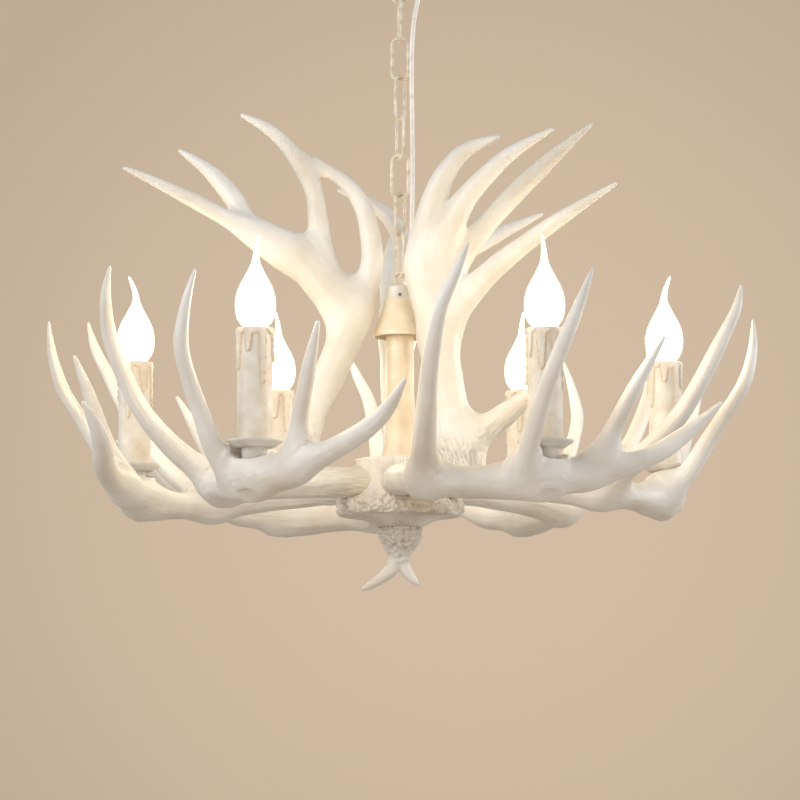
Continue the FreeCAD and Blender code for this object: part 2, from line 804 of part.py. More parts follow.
# ---- candle lights ------------------------------------------------------

cup_top = seat_z + CUP_H
floor_z = cup_top + PAN_WALL
nipple_r = NIPPLE_D / 2 + FIT
pan = revolve([
    (nipple_r, seat_z),
    (CUP_D / 2 - 3, seat_z),
    (CUP_D / 2 - 1, seat_z + CUP_H * 0.25),
    (CUP_D / 2, seat_z + CUP_H * 0.6),
    (CUP_D / 2, cup_top),
    (PAN_FLOOR_D / 2, cup_top),
    (PAN_D / 2, cup_top + PAN_H - PAN_WALL),
    (PAN_D / 2, cup_top + PAN_H),
    (PAN_D / 2 - PAN_WALL, cup_top + PAN_H),
    (PAN_FLOOR_D / 2, floor_z),
    (nipple_r, floor_z),
])
sleeve_top = SLEEVE_TOP + DATUM
sleeve_r = SLEEVE_D / 2
sleeve_in = sleeve_r - SLEEVE_WALL
sleeve = revolve([
    (sleeve_in, floor_z),
    (sleeve_r, floor_z),
    (sleeve_r, sleeve_top),
    (sleeve_in, sleeve_top),
])
DRIPS = ((20, 34, 2.4), (95, 18, 2.0), (165, 46, 2.4), (235, 24, 2.2), (300, 40, 2.6))
core = Part.makeCylinder(sleeve_r - 0.4, 120, V(0, 0, floor_z))
for angle, length, thick in DRIPS:
    x = (sleeve_r - 0.6) * math.cos(math.radians(angle))
    y = (sleeve_r - 0.6) * math.sin(math.radians(angle))
    top = SLEEVE_TOP
    drip = tapered([
        (x, y, top - length - 3, 0.9),
        (x, y, top - length, thick),
        (x, y, top - length * 0.6, thick * 0.7),
        (x, y, top, thick),
    ])
    sleeve = sleeve.fuse(drip.cut(core))
holder_top = BULB_FOOT + DATUM - 1.0
holder_foot = holder_top - HOLDER_H
holder = revolve([
    (nipple_r, holder_foot),
    (HOLDER_D / 2, holder_foot),
    (HOLDER_D / 2, holder_top),
    (SHELL_BORE_D / 2, holder_top),
    (SHELL_BORE_D / 2, holder_foot + HOLDER_FLOOR),
    (nipple_r, holder_foot + HOLDER_FLOOR),
])
nipple_z = seat_z - NIPPLE_DEPTH
nipple_top = holder_foot + HOLDER_FLOOR - CLEAR
nipple = revolve([
    (NIPPLE_BORE_D / 2, nipple_z),
    (NIPPLE_D / 2, nipple_z),
    (NIPPLE_D / 2, nipple_top),
    (NIPPLE_BORE_D / 2, nipple_top),
])
bulb_foot = BULB_FOOT + DATUM
bulb_cap = revolve([
    (0, bulb_foot - CAP_L),
    (CAP_D * 0.22, bulb_foot - CAP_L),
    (CAP_D * 0.45, bulb_foot - CAP_L + 3),
    (CAP_D / 2, bulb_foot - CAP_L + 4),
    (CAP_D / 2, bulb_foot),
    (0, bulb_foot),
])
FLAME = ((0.34, 0.0), (0.46, 0.03), (0.80, 0.13), (0.97, 0.24), (1.0, 0.33),
         (0.95, 0.45), (0.78, 0.60), (0.54, 0.75), (0.31, 0.89), (0.20, 1.0))
profile = [(0, bulb_foot)]
for share, rise in FLAME:
    profile.append((GLASS_D / 2 * share, bulb_foot + GLASS_H * rise))
profile.append((0, bulb_foot + GLASS_H))
flame = revolve(profile)


def glass_tail(lean):
    """Drawn-out tip of the glass, bent a little to one side."""
    low = BULB_FOOT + GLASS_H - 3
    thick = GLASS_D / 2 * 0.2
    return tapered([
        (0, 0, low, thick),
        (lean * 0.10, 0, low + TAIL_L * 0.30, thick * 0.86),
        (lean * 0.35, 0, low + TAIL_L * 0.55, thick * 0.74),
        (lean * 0.70, 0, low + TAIL_L * 0.80, thick * 0.60),
        (lean, 0, low + TAIL_L, thick * 0.36),
    ])


holders = []
nipples = []
for k, turn in enumerate(turns):
    angle = math.radians(turn)
    at = V(RING_R * math.cos(angle), RING_R * math.sin(angle), 0)
    number = "_%d" % (k + 1)
    for node, shape in (("drip_pan", pan), ("bulb_cap", bulb_cap)):
        piece = shape.copy()
        piece.translate(at)
        save(node + number, piece)
    candle = turned(sleeve, 47 * k)
    candle.translate(at)
    save("candle_sleeve" + number, candle)
    glass = flame.fuse(glass_tail(TAIL_LEAN[k]))
    glass.translate(at)
    save("bulb_glass" + number, glass)
    for shape, group in ((holder, holders), (nipple, nipples)):
        piece = shape.copy()
        piece.translate(at)
        group.append(piece)
save("lampholders", Part.makeCompound(holders))
save("candle_tubes", Part.makeCompound(nipples))
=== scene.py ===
import bmesh
import bpy
from math import atan2, cos, exp, pi, radians, sin
from mathutils import Matrix, Vector, kdtree, noise


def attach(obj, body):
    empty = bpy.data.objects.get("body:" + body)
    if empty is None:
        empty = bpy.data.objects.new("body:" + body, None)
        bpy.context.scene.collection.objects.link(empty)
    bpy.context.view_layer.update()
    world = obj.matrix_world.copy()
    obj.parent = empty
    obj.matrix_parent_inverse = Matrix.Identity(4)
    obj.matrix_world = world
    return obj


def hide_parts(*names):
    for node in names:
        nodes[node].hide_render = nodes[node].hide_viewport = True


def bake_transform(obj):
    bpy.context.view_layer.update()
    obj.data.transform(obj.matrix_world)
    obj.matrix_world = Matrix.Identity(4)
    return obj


# Antler chandelier with six candle lights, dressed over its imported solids.
# Metres. +Z is up, and the origin is where the canopy meets the ceiling.

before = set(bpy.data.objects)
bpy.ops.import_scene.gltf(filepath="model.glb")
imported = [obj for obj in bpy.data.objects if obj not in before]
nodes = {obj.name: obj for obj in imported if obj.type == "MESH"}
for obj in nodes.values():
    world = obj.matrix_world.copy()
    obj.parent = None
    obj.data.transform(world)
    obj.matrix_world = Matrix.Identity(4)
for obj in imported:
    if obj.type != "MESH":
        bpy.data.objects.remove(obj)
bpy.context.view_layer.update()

# ---- small helpers ----


def metres(value):
    """Lengths written in millimetres, in metres, however they are grouped."""
    return tuple(map(metres, value)) if isinstance(value, tuple) else value / 1000


def clamp(value):
    """Value held between 0 and 1."""
    return max(0.0, min(1.0, value))


def shares(count):
    """Even steps up to 1, without the 0 they start from."""
    return [i / count for i in range(1, count + 1)]


def link(thing):
    """Put an object in the scene."""
    bpy.context.scene.collection.objects.link(thing)
    return thing


# ---- sizes that the part's source also holds ----

DATUM = -0.432              # level near the tops of the candles
LIGHTS = 6
RING_R = 0.246              # from the column's axis to a candle's axis
WIRE_D = 0.0032
LINK_L = 0.0442
LINK_W = 0.0185
LINK_TURNS = (98, 0, 56, 116, 178, 237, 298)
FIRST_LINK_Z = -0.0709      # middle of the uppermost link
LINK_DROP = 0.0374          # from one link's middle to the next one's
RING_Z = (-0.0366, -0.0556)
RING_W = 0.0172
RING_TURN = 8
LOOP_Z = (-0.3106, -0.3256)
LOOP_W = 0.0136
CANOPY_R = 0.052
CANOPY_H = 0.027
COLLAR_TOP = -0.3259
CAP_TOP = -0.3371
CAP_BOTTOM = -0.3736
SHAFT_TOP = -0.3526
COLUMN_R = 0.013
COLUMN_BORE_R = 0.011
BORE_R = 0.0052             # bore through the column's cap and through a cup
HUB_TOP = -0.4876
HUB_R = 0.044
CORONET_R = 0.059
CORONET_Z = (-0.5240, -0.5405)      # top and foot of the coronet at the hub's foot
HUB_RIBS = 88
FINIAL_TOP = -0.5506
SEAT_Z = -0.5125
CUP_R = 0.011
PAN_R = 0.0240
PAN_FLOOR_Z = -0.4975
SLEEVE_R = 0.015
SLEEVE_TOP = -0.397
BULB_FOOT = -0.399
GLASS_R = 0.0175
GLASS_H = 0.062
TAIL_L = 0.024
TAIL_LEAN = (0.006, 0.002, -0.003, -0.007, 0.0025, -0.0015)
BEAM_FLAT = 0.86
TIP = 0.004                 # length that easing the skin takes from a tine's tip
UPPER_SEAT_Z = -0.500
CABLE_D = 0.0043

CABLE_ROUTE = metres((
    (18, 0, -35.3), (17.4, -2, -50), (12.6, -4.6, -72), (10.6, -5.4, -110), (11.2, -5, -160),
    (11.9, -4.6, -215), (11.2, -5.2, -262), (9.7, -6.4, -297), (6.9, -6.9, -314),
    (6.4, -6.6, -325.9),
))

# Beams and tines are runs of stations in millimetres: X, Y, height from DATUM and radius.
LOWER_BEAM = metres((
    (34, -20, -79, 17.5), (62, -34, -80, 16.5), (100, -48, -83, 16.5), (140, -62, -87, 16.5),
    (178, -73, -92, 17), (206, -56, -94, 15), (229, -22, -94, 17), (241, 15, -92, 15.5),
    (250, 45, -87, 12.5), (260, 76, -78, 11.5), (263, 102, -68, 10.5), (262, 122, -57, 9.5),
    (265, 143, -42, 7), (274, 162, -23.5, 2),
))
LOWER_TINES = metres((
    ((178, -79, -92, 11.2), (192, -89, -79, 11), (221, -104, -57, 9.7), (248, -117, -27, 8.6),
     (268, -124, 7, 7.8), (284, -126, 38, 6.7), (298, -119, 66, 4.8), (303, -112, 87, 1.6)),
    ((236, -22, -92, 9.5), (260, -28, -74, 9), (280, -30, -44, 7.8), (300, -30, -14, 7.2),
     (317, -27, 14, 6.4), (326, -17, 46, 4.6), (328, -7, 72, 1.6)),
    ((249, 40, -86, 9), (258, 49, -68, 8.4), (268, 60, -40, 7.6), (280, 76, -4, 6),
     (291, 90, 26, 2)),
))
CANDLE_BOSS = metres((
    (246, 0, -101.5, 8.1), (246, 0, -91, 13.5), (246, 0, -77, 13.5),
))
# The first station of each upper antler is its foot.
UPPER_RIGHT = metres((
    ((62, -36, -76, 18), (57, -35, -54, 18.5), (51, -32, -32, 18.5), (44, -30, -8, 18),
     (39, -31, 26, 17.5), (35, -32, 58, 16.5), (28, -31, 92, 16), (20, -28, 128, 15),
     (24, -34, 160, 12), (32, -40, 186, 10.6), (44, -46, 208, 9.2), (62, -50, 226, 7.4),
     (88, -54, 236, 2)),
    ((26, -30, 118, 13), (44, -46, 150, 11), (60, -56, 178, 10), (80, -64, 200, 8.4),
     (104, -70, 220, 6.4), (137, -76, 238, 2)),
    ((32, -24, 92, 13.5), (52, -26, 124, 12), (78, -30, 158, 10.5), (108, -34, 190, 9.2),
     (140, -38, 220, 7.2), (175, -42, 250, 2)),
    ((36, -26, 56, 13.5), (56, -36, 84, 12), (82, -48, 112, 10.4), (116, -60, 138, 8.6),
     (152, -70, 162, 6.4), (194, -78, 187, 2)),
    ((54, -33, -38, 13), (76, -42, -32, 12), (100, -52, -16, 10), (126, -62, 6, 3)),
))
UPPER_LEFT = metres((
    ((-94, -62, -76, 15), (-90, -54, -50, 15.5), (-86, -44, -30, 15.5), (-80, -34, -9, 15),
     (-65, -22, 20, 15), (-50, -12, 58, 16), (-42, -6, 88, 16), (-31, -2, 108, 12.5),
     (-26, 0, 132, 10.8), (-28, 0, 156, 9.6), (-33, 0, 178, 8.6), (-45, 0, 199, 7.4),
     (-62, 0, 214, 5.6), (-82, 0, 227, 2)),
    ((-46, -6, 84, 13), (-64, -4, 110, 12), (-73, -4, 140, 11), (-77, -4, 168, 9.8),
     (-80, -6, 192, 8.6), (-90, -8, 214, 7.4), (-106, -10, 238, 6.6), (-125, -12, 255, 5.2),
     (-146, -12, 266, 2)),
    ((-50, -8, 78, 14), (-74, -10, 106, 14.5), (-98, -12, 134, 14), (-122, -10, 150, 11),
     (-140, -6, 164, 9), (-156, -2, 190, 9), (-174, 4, 212, 7.6), (-190, 8, 226, 5.4),
     (-206, 10, 237, 2)),
    ((-104, -12, 136, 13), (-132, -18, 151, 10.5), (-162, -26, 167, 8.4), (-196, -34, 184, 7),
     (-226, -40, 198, 5), (-252, -44, 209, 2)),
))
UPPER_REAR = metres((
    ((-1, 72, -76, 16), (-1, 70, -54, 16.5), (0, 66, -30, 16.5), (-2, 58, 0, 16),
     (-4, 52, 40, 15.5), (-2, 48, 76, 15), (2, 46, 108, 13), (6, 48, 136, 11), (2, 56, 162, 9.2),
     (-12, 66, 186, 7.4), (-34, 80, 204, 5.4), (-58, 92, 216, 2)),
    ((2, 50, 96, 12), (26, 66, 124, 11), (48, 84, 146, 9.6), (78, 104, 166, 8), (108, 120, 184, 6),
     (138, 132, 200, 2)),
    ((-2, 54, 70, 12), (-8, 84, 100, 11), (-10, 116, 132, 9.6), (-8, 150, 166, 7.6),
     (-2, 186, 200, 2)),
))
UPPER_ANTLERS = (UPPER_RIGHT, UPPER_LEFT, UPPER_REAR)

# ---- camera ----

CAMERA_AIM = Vector((0, 0, -0.432))
CAMERA_REACH = 2.460
CAMERA_TILT = radians(-7)      # the camera stands below and looks up
CAMERA_LENS = 119.25


def make_camera():
    """Camera at the photograph's viewing angle."""
    back = Vector((0, -cos(CAMERA_TILT), sin(CAMERA_TILT)))
    data = bpy.data.cameras.new("camera")
    data.lens = CAMERA_LENS
    data.clip_end = 60
    camera = link(bpy.data.objects.new("camera", data))
    camera.rotation_mode = "QUATERNION"
    camera.location = CAMERA_AIM + back * CAMERA_REACH
    camera.rotation_quaternion = (-back).to_track_quat("-Z", "Y")
    bpy.context.scene.camera = camera


make_camera()

# ---- mesh helpers ----


def add_object(name, mesh):
    """Put a mesh in the scene as a smooth-shaded piece."""
    mesh.shade_smooth()
    return link(bpy.data.objects.new(name, mesh))


def mesh_from(name, build):
    """Mesh that the function build fills in, with its faces turned outward."""
    form = bmesh.new()
    build(form)
    bmesh.ops.recalc_face_normals(form, faces=form.faces)
    mesh = bpy.data.meshes.new(name)
    form.to_mesh(mesh)
    form.free()
    return mesh


def bridge(form, rings, closed=False):
    """Faces between rings of vertices, where a ring of one vertex is a pole."""
    for low, high in zip(rings, rings[1:] + rings[:1] * closed):
        count = max(len(low), len(high))
        for i in range(count):
            j = (i + 1) % count
            if len(low) == 1:
                form.faces.new((low[0], high[j], high[i]))
            elif len(high) == 1:
                form.faces.new((low[i], low[j], high[0]))
            else:
                form.faces.new((low[i], low[j], high[j], high[i]))


def axes_along(points):
    """Direction, side and rise at each point of a line, without a twist."""
    made = []
    side = None
    last = len(points) - 1
    for i in range(len(points)):
        ahead = (points[min(i + 1, last)] - points[max(i - 1, 0)]).normalized()
        if side is None:
            side = ahead.cross(Vector((0, 0, 1)))
            if side.length < 0.3:
                side = ahead.cross(Vector((0, 1, 0)))
        side = (side - ahead * side.dot(ahead)).normalized()
        made.append((ahead, side, ahead.cross(side)))
    return made


def add_ring(form, sides, place_at):
    """Ring of vertices, each where a function of its angle puts it."""
    return [form.verts.new(place_at(2 * pi * i / sides)) for i in range(sides)]


def add_tube(form, points, radii, sides, flat=1.0):
    """Round or slightly flat tube along a line, with a flat end at each end."""
    rings = []
    for point, radius, (_, side, rise) in zip(points, radii, axes_along(points)):
        rings.append(add_ring(form, sides, lambda angle: (
            point + side * (radius * cos(angle))
            + rise * (radius * flat * sin(angle)))))
    bridge(form, rings)
    form.faces.new(rings[0])
    form.faces.new(rings[-1])


def add_loop(form, points, radii, sides):
    """Tube along a closed line, all of it in one upright plane."""
    rings = []
    side = Vector((0, 1, 0))
    for i, point in enumerate(points):
        ahead = (points[(i + 1) % len(points)] - points[i - 1]).normalized()
        rise = ahead.cross(side)
        rings.append(add_ring(form, sides, lambda angle: (
            point + (side * cos(angle) + rise * sin(angle)) * radii[i])))
    bridge(form, rings, closed=True)


def eased(profile, reach, steps=3):
    """Profile of radius and height pairs with its corners rounded."""
    points = [Vector(p) for p in profile]
    made = [points[0]]
    for before, corner, after in zip(points, points[1:], points[2:]):
        back = before - corner
        ahead = after - corner
        room = min(reach, 0.45 * back.length, 0.45 * ahead.length)
        first = corner + back.normalized() * room
        final = corner + ahead.normalized() * room
        for i in range(steps + 1):
            t = i / steps
            made.append(first.lerp(corner, t).lerp(corner.lerp(final, t), t))
    made.append(points[-1])
    return made


def turned_mesh(name, profile, sides, relief=None):
    """Mesh turned round Z, with an outward relief given by angle, radius and height."""
    def build(form):
        rings = []
        for radius, z in profile:
            def place_at(angle):
                out = radius + (relief(angle, radius, z) if relief and radius else 0)
                return out * cos(angle), out * sin(angle), z

            rings.append(add_ring(form, sides if radius else 1, place_at))
        bridge(form, rings)

    return mesh_from(name, build)


def mark_sunken(mesh, depth_at):
    """Store how sunken the skin is at each vertex, for its material to darken as painted shade."""
    mesh.attributes.new("sunken_shade", "FLOAT", "POINT")
    sunken_shade = mesh.attributes["sunken_shade"]
    for vertex in mesh.vertices:
        sunken_shade.data[vertex.index].value = clamp(depth_at(vertex.co))


def paint(mesh, surface):
    """Give a mesh one material."""
    mesh.materials.clear()
    mesh.materials.append(surface)


def dress(piece, body, slot, surface, *replaced):
    """Give a piece its material, its body and the nodes that it stands for."""
    paint(piece.data, surface)
    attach(piece, body)
    if replaced:
        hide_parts(*replaced)
    return piece


def turned_piece(name, profile, sides, *looks):
    """Piece turned round Z, with all that dress needs of it."""
    return dress(add_object(name, turned_mesh(name, profile, sides)), *looks)


# ---- supply cable, in one stretch for each pair of moving bodies ----

BODIES = ["canopy"] + ["link_%d" % (k + 1) for k in range(len(LINK_TURNS))] + ["lamp"]


def cable_line():
    """Points of the cable's middle, read from the spline of its route."""
    data = bpy.data.curves.new("cable_route", "CURVE")
    data.dimensions = "3D"
    data.resolution_u = 24
    spline = data.splines.new("NURBS")
    spline.points.add(len(CABLE_ROUTE) - 1)
    for point, place in zip(spline.points, CABLE_ROUTE):
        point.co = (*place, 1)
    spline.order_u = 3
    spline.use_endpoint_u = True
    route = bpy.data.objects.new("cable_route", data)
    line = bpy.data.meshes.new_from_object(route)
    points = [vertex.co.copy() for vertex in line.vertices]
    bpy.data.objects.remove(route)
    return points


def split_at(points, height):
    """Points above and below a height, with one more at the height in both."""
    above = [p for p in points if p.z > height + 1e-6]
    below = [p for p in points if p.z < height - 1e-6]
    share = (above[-1].z - height) / (above[-1].z - below[0].z)
    middle = above[-1].lerp(below[0], share)
    return above + [middle], [middle] + below


def make_cable(surface):
    """Stretches of cable, split at the middle of each link of the chain."""
    rest = cable_line()
    for k in range(len(BODIES) - 1):
        if k < len(LINK_TURNS):
            run, rest = split_at(rest, FIRST_LINK_Z - k * LINK_DROP)
        else:
            run = rest
        radii = [CABLE_D / 2] * len(run)
        mesh = mesh_from("cable_%d" % (k + 1), lambda form: add_tube(form, run, radii, 16))
        piece = add_object("supply_cable_%d" % (k + 1), mesh)
        mesh.materials.append(surface)
        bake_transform(piece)
    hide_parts("supply_cable")


# ---- shader helpers and groups ----


def fill_inputs(tree, made, values):
    """Put constants on a node's inputs, or link other nodes' outputs to them."""
    for socket, value in values.items():
        if isinstance(value, bpy.types.NodeSocket):
            tree.links.new(value, made.inputs[socket])
        else:
            made.inputs[socket].default_value = value
    return made


def add_node(tree, kind, values=None, **settings):
    """One shader node, with its settings and with values or links at its inputs."""
    made = tree.nodes.new("ShaderNode" + kind)
    for name, value in settings.items():
        setattr(made, name, value)
    return fill_inputs(tree, made, values or {})


def new_group(name, inputs, outputs):
    """Empty shader group whose inputs have a kind, or a number that they start from."""
    tree = bpy.data.node_groups.new(name, "ShaderNodeTree")
    for in_out, sockets in (("INPUT", inputs), ("OUTPUT", outputs)):
        for label, kind in sockets.items():
            named = isinstance(kind, str)
            made = tree.interface.new_socket(
                name=label, in_out=in_out,
                socket_type="NodeSocket" + (kind if named else "Float"))
            if not named:
                made.default_value = kind
    return tree, tree.nodes.new("NodeGroupInput").outputs, tree.nodes.new("NodeGroupOutput")


def math_node(tree, operation, *values):
    """Result of one operation run over two or more values in turn."""
    result = values[0]
    for value in values[1:]:
        result = add_node(tree, "Math", {0: result, 1: value}, operation=operation).outputs[0]
    return result


def times(tree, *values):
    """Values multiplied together."""
    return math_node(tree, "MULTIPLY", *values)


def rescaled(tree, value, low, high, new_low=0.0, new_high=1.0):
    """Value moved from one range to another and held inside it."""
    return add_node(tree, "MapRange", {"Value": value, "From Min": low, "From Max": high,
                                       "To Min": new_low, "To Max": new_high}).outputs[0]


def noise_at(tree, place, scale, detail, roughness=0.5):
    """Value of soft noise at a place."""
    return add_node(tree, "TexNoise", {"Vector": place, "Scale": scale, "Detail": detail,
                                       "Roughness": roughness}).outputs["Fac"]


def mixed(tree, share, first, second):
    """Colour between two others."""
    return add_node(tree, "Mix", {"Factor": share, 6: first, 7: second},
                    data_type="RGBA").outputs[2]


def attribute(tree, name, kind="Fac"):
    """What the mesh holds under a name."""
    return add_node(tree, "Attribute", attribute_name=name).outputs[kind]


def bumped(tree, height, strength, distance):
    """Normal of a surface that has a height on it."""
    return add_node(tree, "Bump", {"Height": height, "Strength": strength,
                                   "Distance": distance}).outputs[0]


def uneven_tone_group():
    """Colour that drifts between a light and a deep tone, as cast resin and paint do, with painted
    shade in hollows.
    """
    tree, start, end = new_group(
        "uneven_tone",
        {"Place": "Vector", "Light": "Color", "Deep": "Color", "Scale": 30.0, "Shaded_Hollows": 0.0},
        {"Color": "Color", "Mask": "Float"})
    broad = noise_at(tree, start["Place"], start["Scale"], 4.0, 0.55)
    mask = math_node(tree, "MAXIMUM", rescaled(tree, broad, 0.35, 0.7), start["Shaded_Hollows"])
    tone = mixed(tree, mask, start["Light"], start["Deep"])
    fill_inputs(tree, end, {"Color": tone, "Mask": mask})
    return tree


def grooves_group():
    """Fine grooves that run lengthwise along an antler's beam or tine, and painted shade in them.
    """
    tree, start, end = new_group(
        "lengthwise_grooves", {"Flow": "Vector", "Fineness": 200.0, "Stretch": 22.0},
        {"Height": "Float", "Shaded_Hollows": "Float"})
    parts = add_node(tree, "SeparateXYZ", {"Vector": start["Flow"]}).outputs
    place = add_node(tree, "CombineXYZ", {"X": times(tree, parts["X"], start["Fineness"]),
                                          "Y": times(tree, parts["Y"], start["Fineness"]),
                                          "Z": times(tree, parts["Z"], start["Stretch"])})
    lines = noise_at(tree, place.outputs[0], 1.0, 5.0, 0.6)
    fill_inputs(tree, end, {"Height": lines, "Shaded_Hollows": rescaled(tree, lines, 0.46, 0.30)})
    return tree


def pits_group():
    """Small soft bumps and pits of a painted or cast surface."""
    tree, start, end = new_group("small_pits", {"Place": "Vector", "Scale": 400.0},
                                 {"Height": "Float", "Mask": "Float"})
    fine = noise_at(tree, start["Place"], start["Scale"], 3.0, 0.6)
    cells = add_node(tree, "TexVoronoi", {"Vector": start["Place"], "Scale": start["Scale"]},
                     feature="F1")
    near = rescaled(tree, cells.outputs["Distance"], 0.0, 0.35)
    fill_inputs(tree, end, {"Height": math_node(tree, "ADD", fine, near), "Mask": near})
    return tree


UNEVEN_TONE = uneven_tone_group()
GROOVES = grooves_group()
PITS = pits_group()
BULB_GLOW = 3.0             # how brightly a bulb's glass shines in itself


def placed_group(tree, group, values):
    """Outputs of a shared group that has its own values in one material."""
    return add_node(tree, "Group", values, node_tree=group).outputs


def new_material(name):
    """Empty material, its tree, and the place on the piece that its textures follow."""
    made = bpy.data.materials.new(name)
    made.use_nodes = True
    tree = made.node_tree
    tree.nodes.clear()
    return made, tree, add_node(tree, "TexCoord").outputs["Object"]


def lay_surface(tree, values):
    """Surface of a material, from the values and links at its inputs."""
    shader = add_node(tree, "BsdfPrincipled", values)
    add_node(tree, "OutputMaterial", {"Surface": shader.outputs[0]})


def srgb(red, green, blue):
    """Colour written as seen on a screen, from 0 to 255."""
    made = []
    for part in (red, green, blue):
        share = part / 255
        made.append(share / 12.92 if share < 0.04045 else ((share + 0.055) / 1.055) ** 2.4)
    return (*made, 1)


def plain_finish(name, light, deep, scale, roughness, pits, depth, metallic=0.0, coat=0.0,
                 glow=0.0, shaded_hollows=False):
    """Paint, plastic or plated metal with an uneven tone and fine pits, with painted shade where
    the mesh is marked sunken, if asked.
    """
    made, tree, place = new_material(name)
    small = placed_group(tree, PITS, {"Place": place, "Scale": pits})
    tone = placed_group(tree, UNEVEN_TONE, {
        "Place": place, "Light": srgb(*light), "Deep": srgb(*deep), "Scale": scale,
        "Shaded_Hollows": attribute(tree, "sunken_shade") if shaded_hollows else 0.0})
    lay_surface(tree, {
        "Base Color": tone["Color"],
        "Roughness": rescaled(tree, tone["Mask"], 0.0, 1.0, roughness - 0.05, roughness + 0.08),
        "Normal": bumped(tree, small["Height"], 0.6, depth), "Metallic": metallic,
        "Coat Weight": coat, "Subsurface Weight": glow, "Subsurface Scale": 0.004,
        "Subsurface Radius": (1.0, 0.85, 0.7)})
    return made


def antler_finish():
    """Satin off-white resin, with grooves along the tines, bark at the bases and painted shade in
    hollows.
    """
    made, tree, place = new_material("antler_resin")
    flow = attribute(tree, "flow", "Vector")
    sunken_shade = attribute(tree, "sunken_shade")
    grain = attribute(tree, "grain")
    grooves = placed_group(tree, GROOVES, {"Flow": flow, "Fineness": 300.0, "Stretch": 26.0})
    streaks = placed_group(tree, GROOVES, {"Flow": flow, "Fineness": 90.0, "Stretch": 9.0})
    small = placed_group(tree, PITS, {"Place": place, "Scale": 260.0})
    # Painted shade: the tone goes deep in the grooves, the streaks and the carved hollows.
    shaded_hollows = math_node(tree, "MAXIMUM", times(tree, grain, 0.5, grooves["Shaded_Hollows"]),
                        times(tree, sunken_shade, 0.5), times(tree, grain, 0.3, streaks["Shaded_Hollows"]))
    tone = placed_group(tree, UNEVEN_TONE, {
        "Place": place, "Light": srgb(245, 240, 230), "Deep": srgb(226, 214, 196),
        "Scale": 16.0, "Shaded_Hollows": shaded_hollows})
    # Painted shade: carved hollows darken further towards brown.
    pit_shaded = mixed(tree, times(tree, sunken_shade, 0.7), tone["Color"], srgb(158, 144, 124))
    barked = math_node(tree, "ADD", times(tree, attribute(tree, "bark"), 0.8), 0.12)
    height = math_node(tree, "ADD", times(tree, grooves["Height"], grain),
                       times(tree, small["Height"], barked))
    lay_surface(tree, {
        "Base Color": pit_shaded, "Roughness": rescaled(tree, shaded_hollows, 0.0, 1.0, 0.40, 0.62),
        "Normal": bumped(tree, height, 0.7, 0.0012), "Coat Weight": 0.08,
        "Coat Roughness": 0.3})
    return made


def upright_ribs_group():
    """Ribs that run up a turned form, counted round its axis, with painted shade between them."""
    tree, start, end = new_group("upright_ribs", {"Place": "Vector", "Count": 88.0},
                                 {"Height": "Float", "Shaded_Hollows": "Float"})
    parts = add_node(tree, "SeparateXYZ", {"Vector": start["Place"]}).outputs
    angle = math_node(tree, "ARCTAN2", parts["Y"], parts["X"])
    turned = times(tree, angle, math_node(tree, "DIVIDE", start["Count"], 2.0))
    drift = times(tree, noise_at(tree, start["Place"], 70.0, 2.0), 5.0)
    rib = math_node(tree, "ADD", turned, drift)
    for operation in ("SINE", "ABSOLUTE"):
        rib = add_node(tree, "Math", {0: rib}, operation=operation).outputs[0]
    fill_inputs(tree, end, {"Height": rib, "Shaded_Hollows": rescaled(tree, rib, 0.45, 0.0)})
    return tree


def hub_finish():
    """White resin with painted shade in the grooves between the hub's ribs, in pits and in sunken
    relief, and crumbs at its coronet.
    """
    made, tree, place = new_material("hub_bark")
    ribs = placed_group(tree, upright_ribs_group(), {"Place": place, "Count": float(HUB_RIBS)})
    crumbs = placed_group(tree, PITS, {"Place": place, "Scale": 420.0})
    # Painted shade: the tone goes deep in crumb pits, in sunken relief and between the ribs.
    shaded_hollows = math_node(tree, "MAXIMUM", rescaled(tree, crumbs["Mask"], 0.45, 0.0, 0.0, 0.5),
                        attribute(tree, "sunken_shade"), times(tree, ribs["Shaded_Hollows"], 0.35))
    tone = placed_group(tree, UNEVEN_TONE, {
        "Place": place, "Light": srgb(247, 240, 230), "Deep": srgb(206, 190, 168),
        "Scale": 20.0, "Shaded_Hollows": shaded_hollows})
    height = math_node(tree, "ADD", times(tree, crumbs["Height"], 0.5),
                       times(tree, ribs["Height"], 0.5))
    lay_surface(tree, {"Base Color": tone["Color"], "Roughness": 0.6,
                       "Normal": bumped(tree, height, 0.8, 0.0010)})
    return made


def lit_glass_finish():
    """Frosted glass that glows, whitest where it is seen straight on."""
    made, tree, place = new_material("lit_glass")
    turned = add_node(tree, "LayerWeight", {"Blend": 0.5}).outputs["Facing"]
    cloud = placed_group(tree, UNEVEN_TONE, {
        "Place": place, "Light": (1.0, 0.97, 0.90, 1), "Deep": (1.0, 0.93, 0.82, 1),
        "Scale": 60.0})
    glow = mixed(tree, rescaled(tree, turned, 0.32, 0.68), cloud["Color"],
                 (0.36, 0.29, 0.18, 1))
    lay_surface(tree, {"Base Color": (0.9, 0.86, 0.8, 1), "Roughness": 0.35,
                       "Emission Color": glow, "Emission Strength": BULB_GLOW})
    return made


ANTLER = antler_finish()
LIT_GLASS = lit_glass_finish()
HUB_BARK = hub_finish()
CREAM_RESIN = plain_finish("cream_resin", (243, 229, 203), (230, 211, 180), 40, 0.42, 500,
                           0.0003, coat=0.1)
CHAIN_PAINT = plain_finish("chain_paint", (245, 233, 211), (206, 186, 158), 140, 0.45, 420,
                           0.0004, coat=0.1)
WHITE_PAINT = plain_finish("white_paint", (232, 228, 220), (212, 202, 186), 70, 0.4, 600,
                           0.0003, coat=0.15)
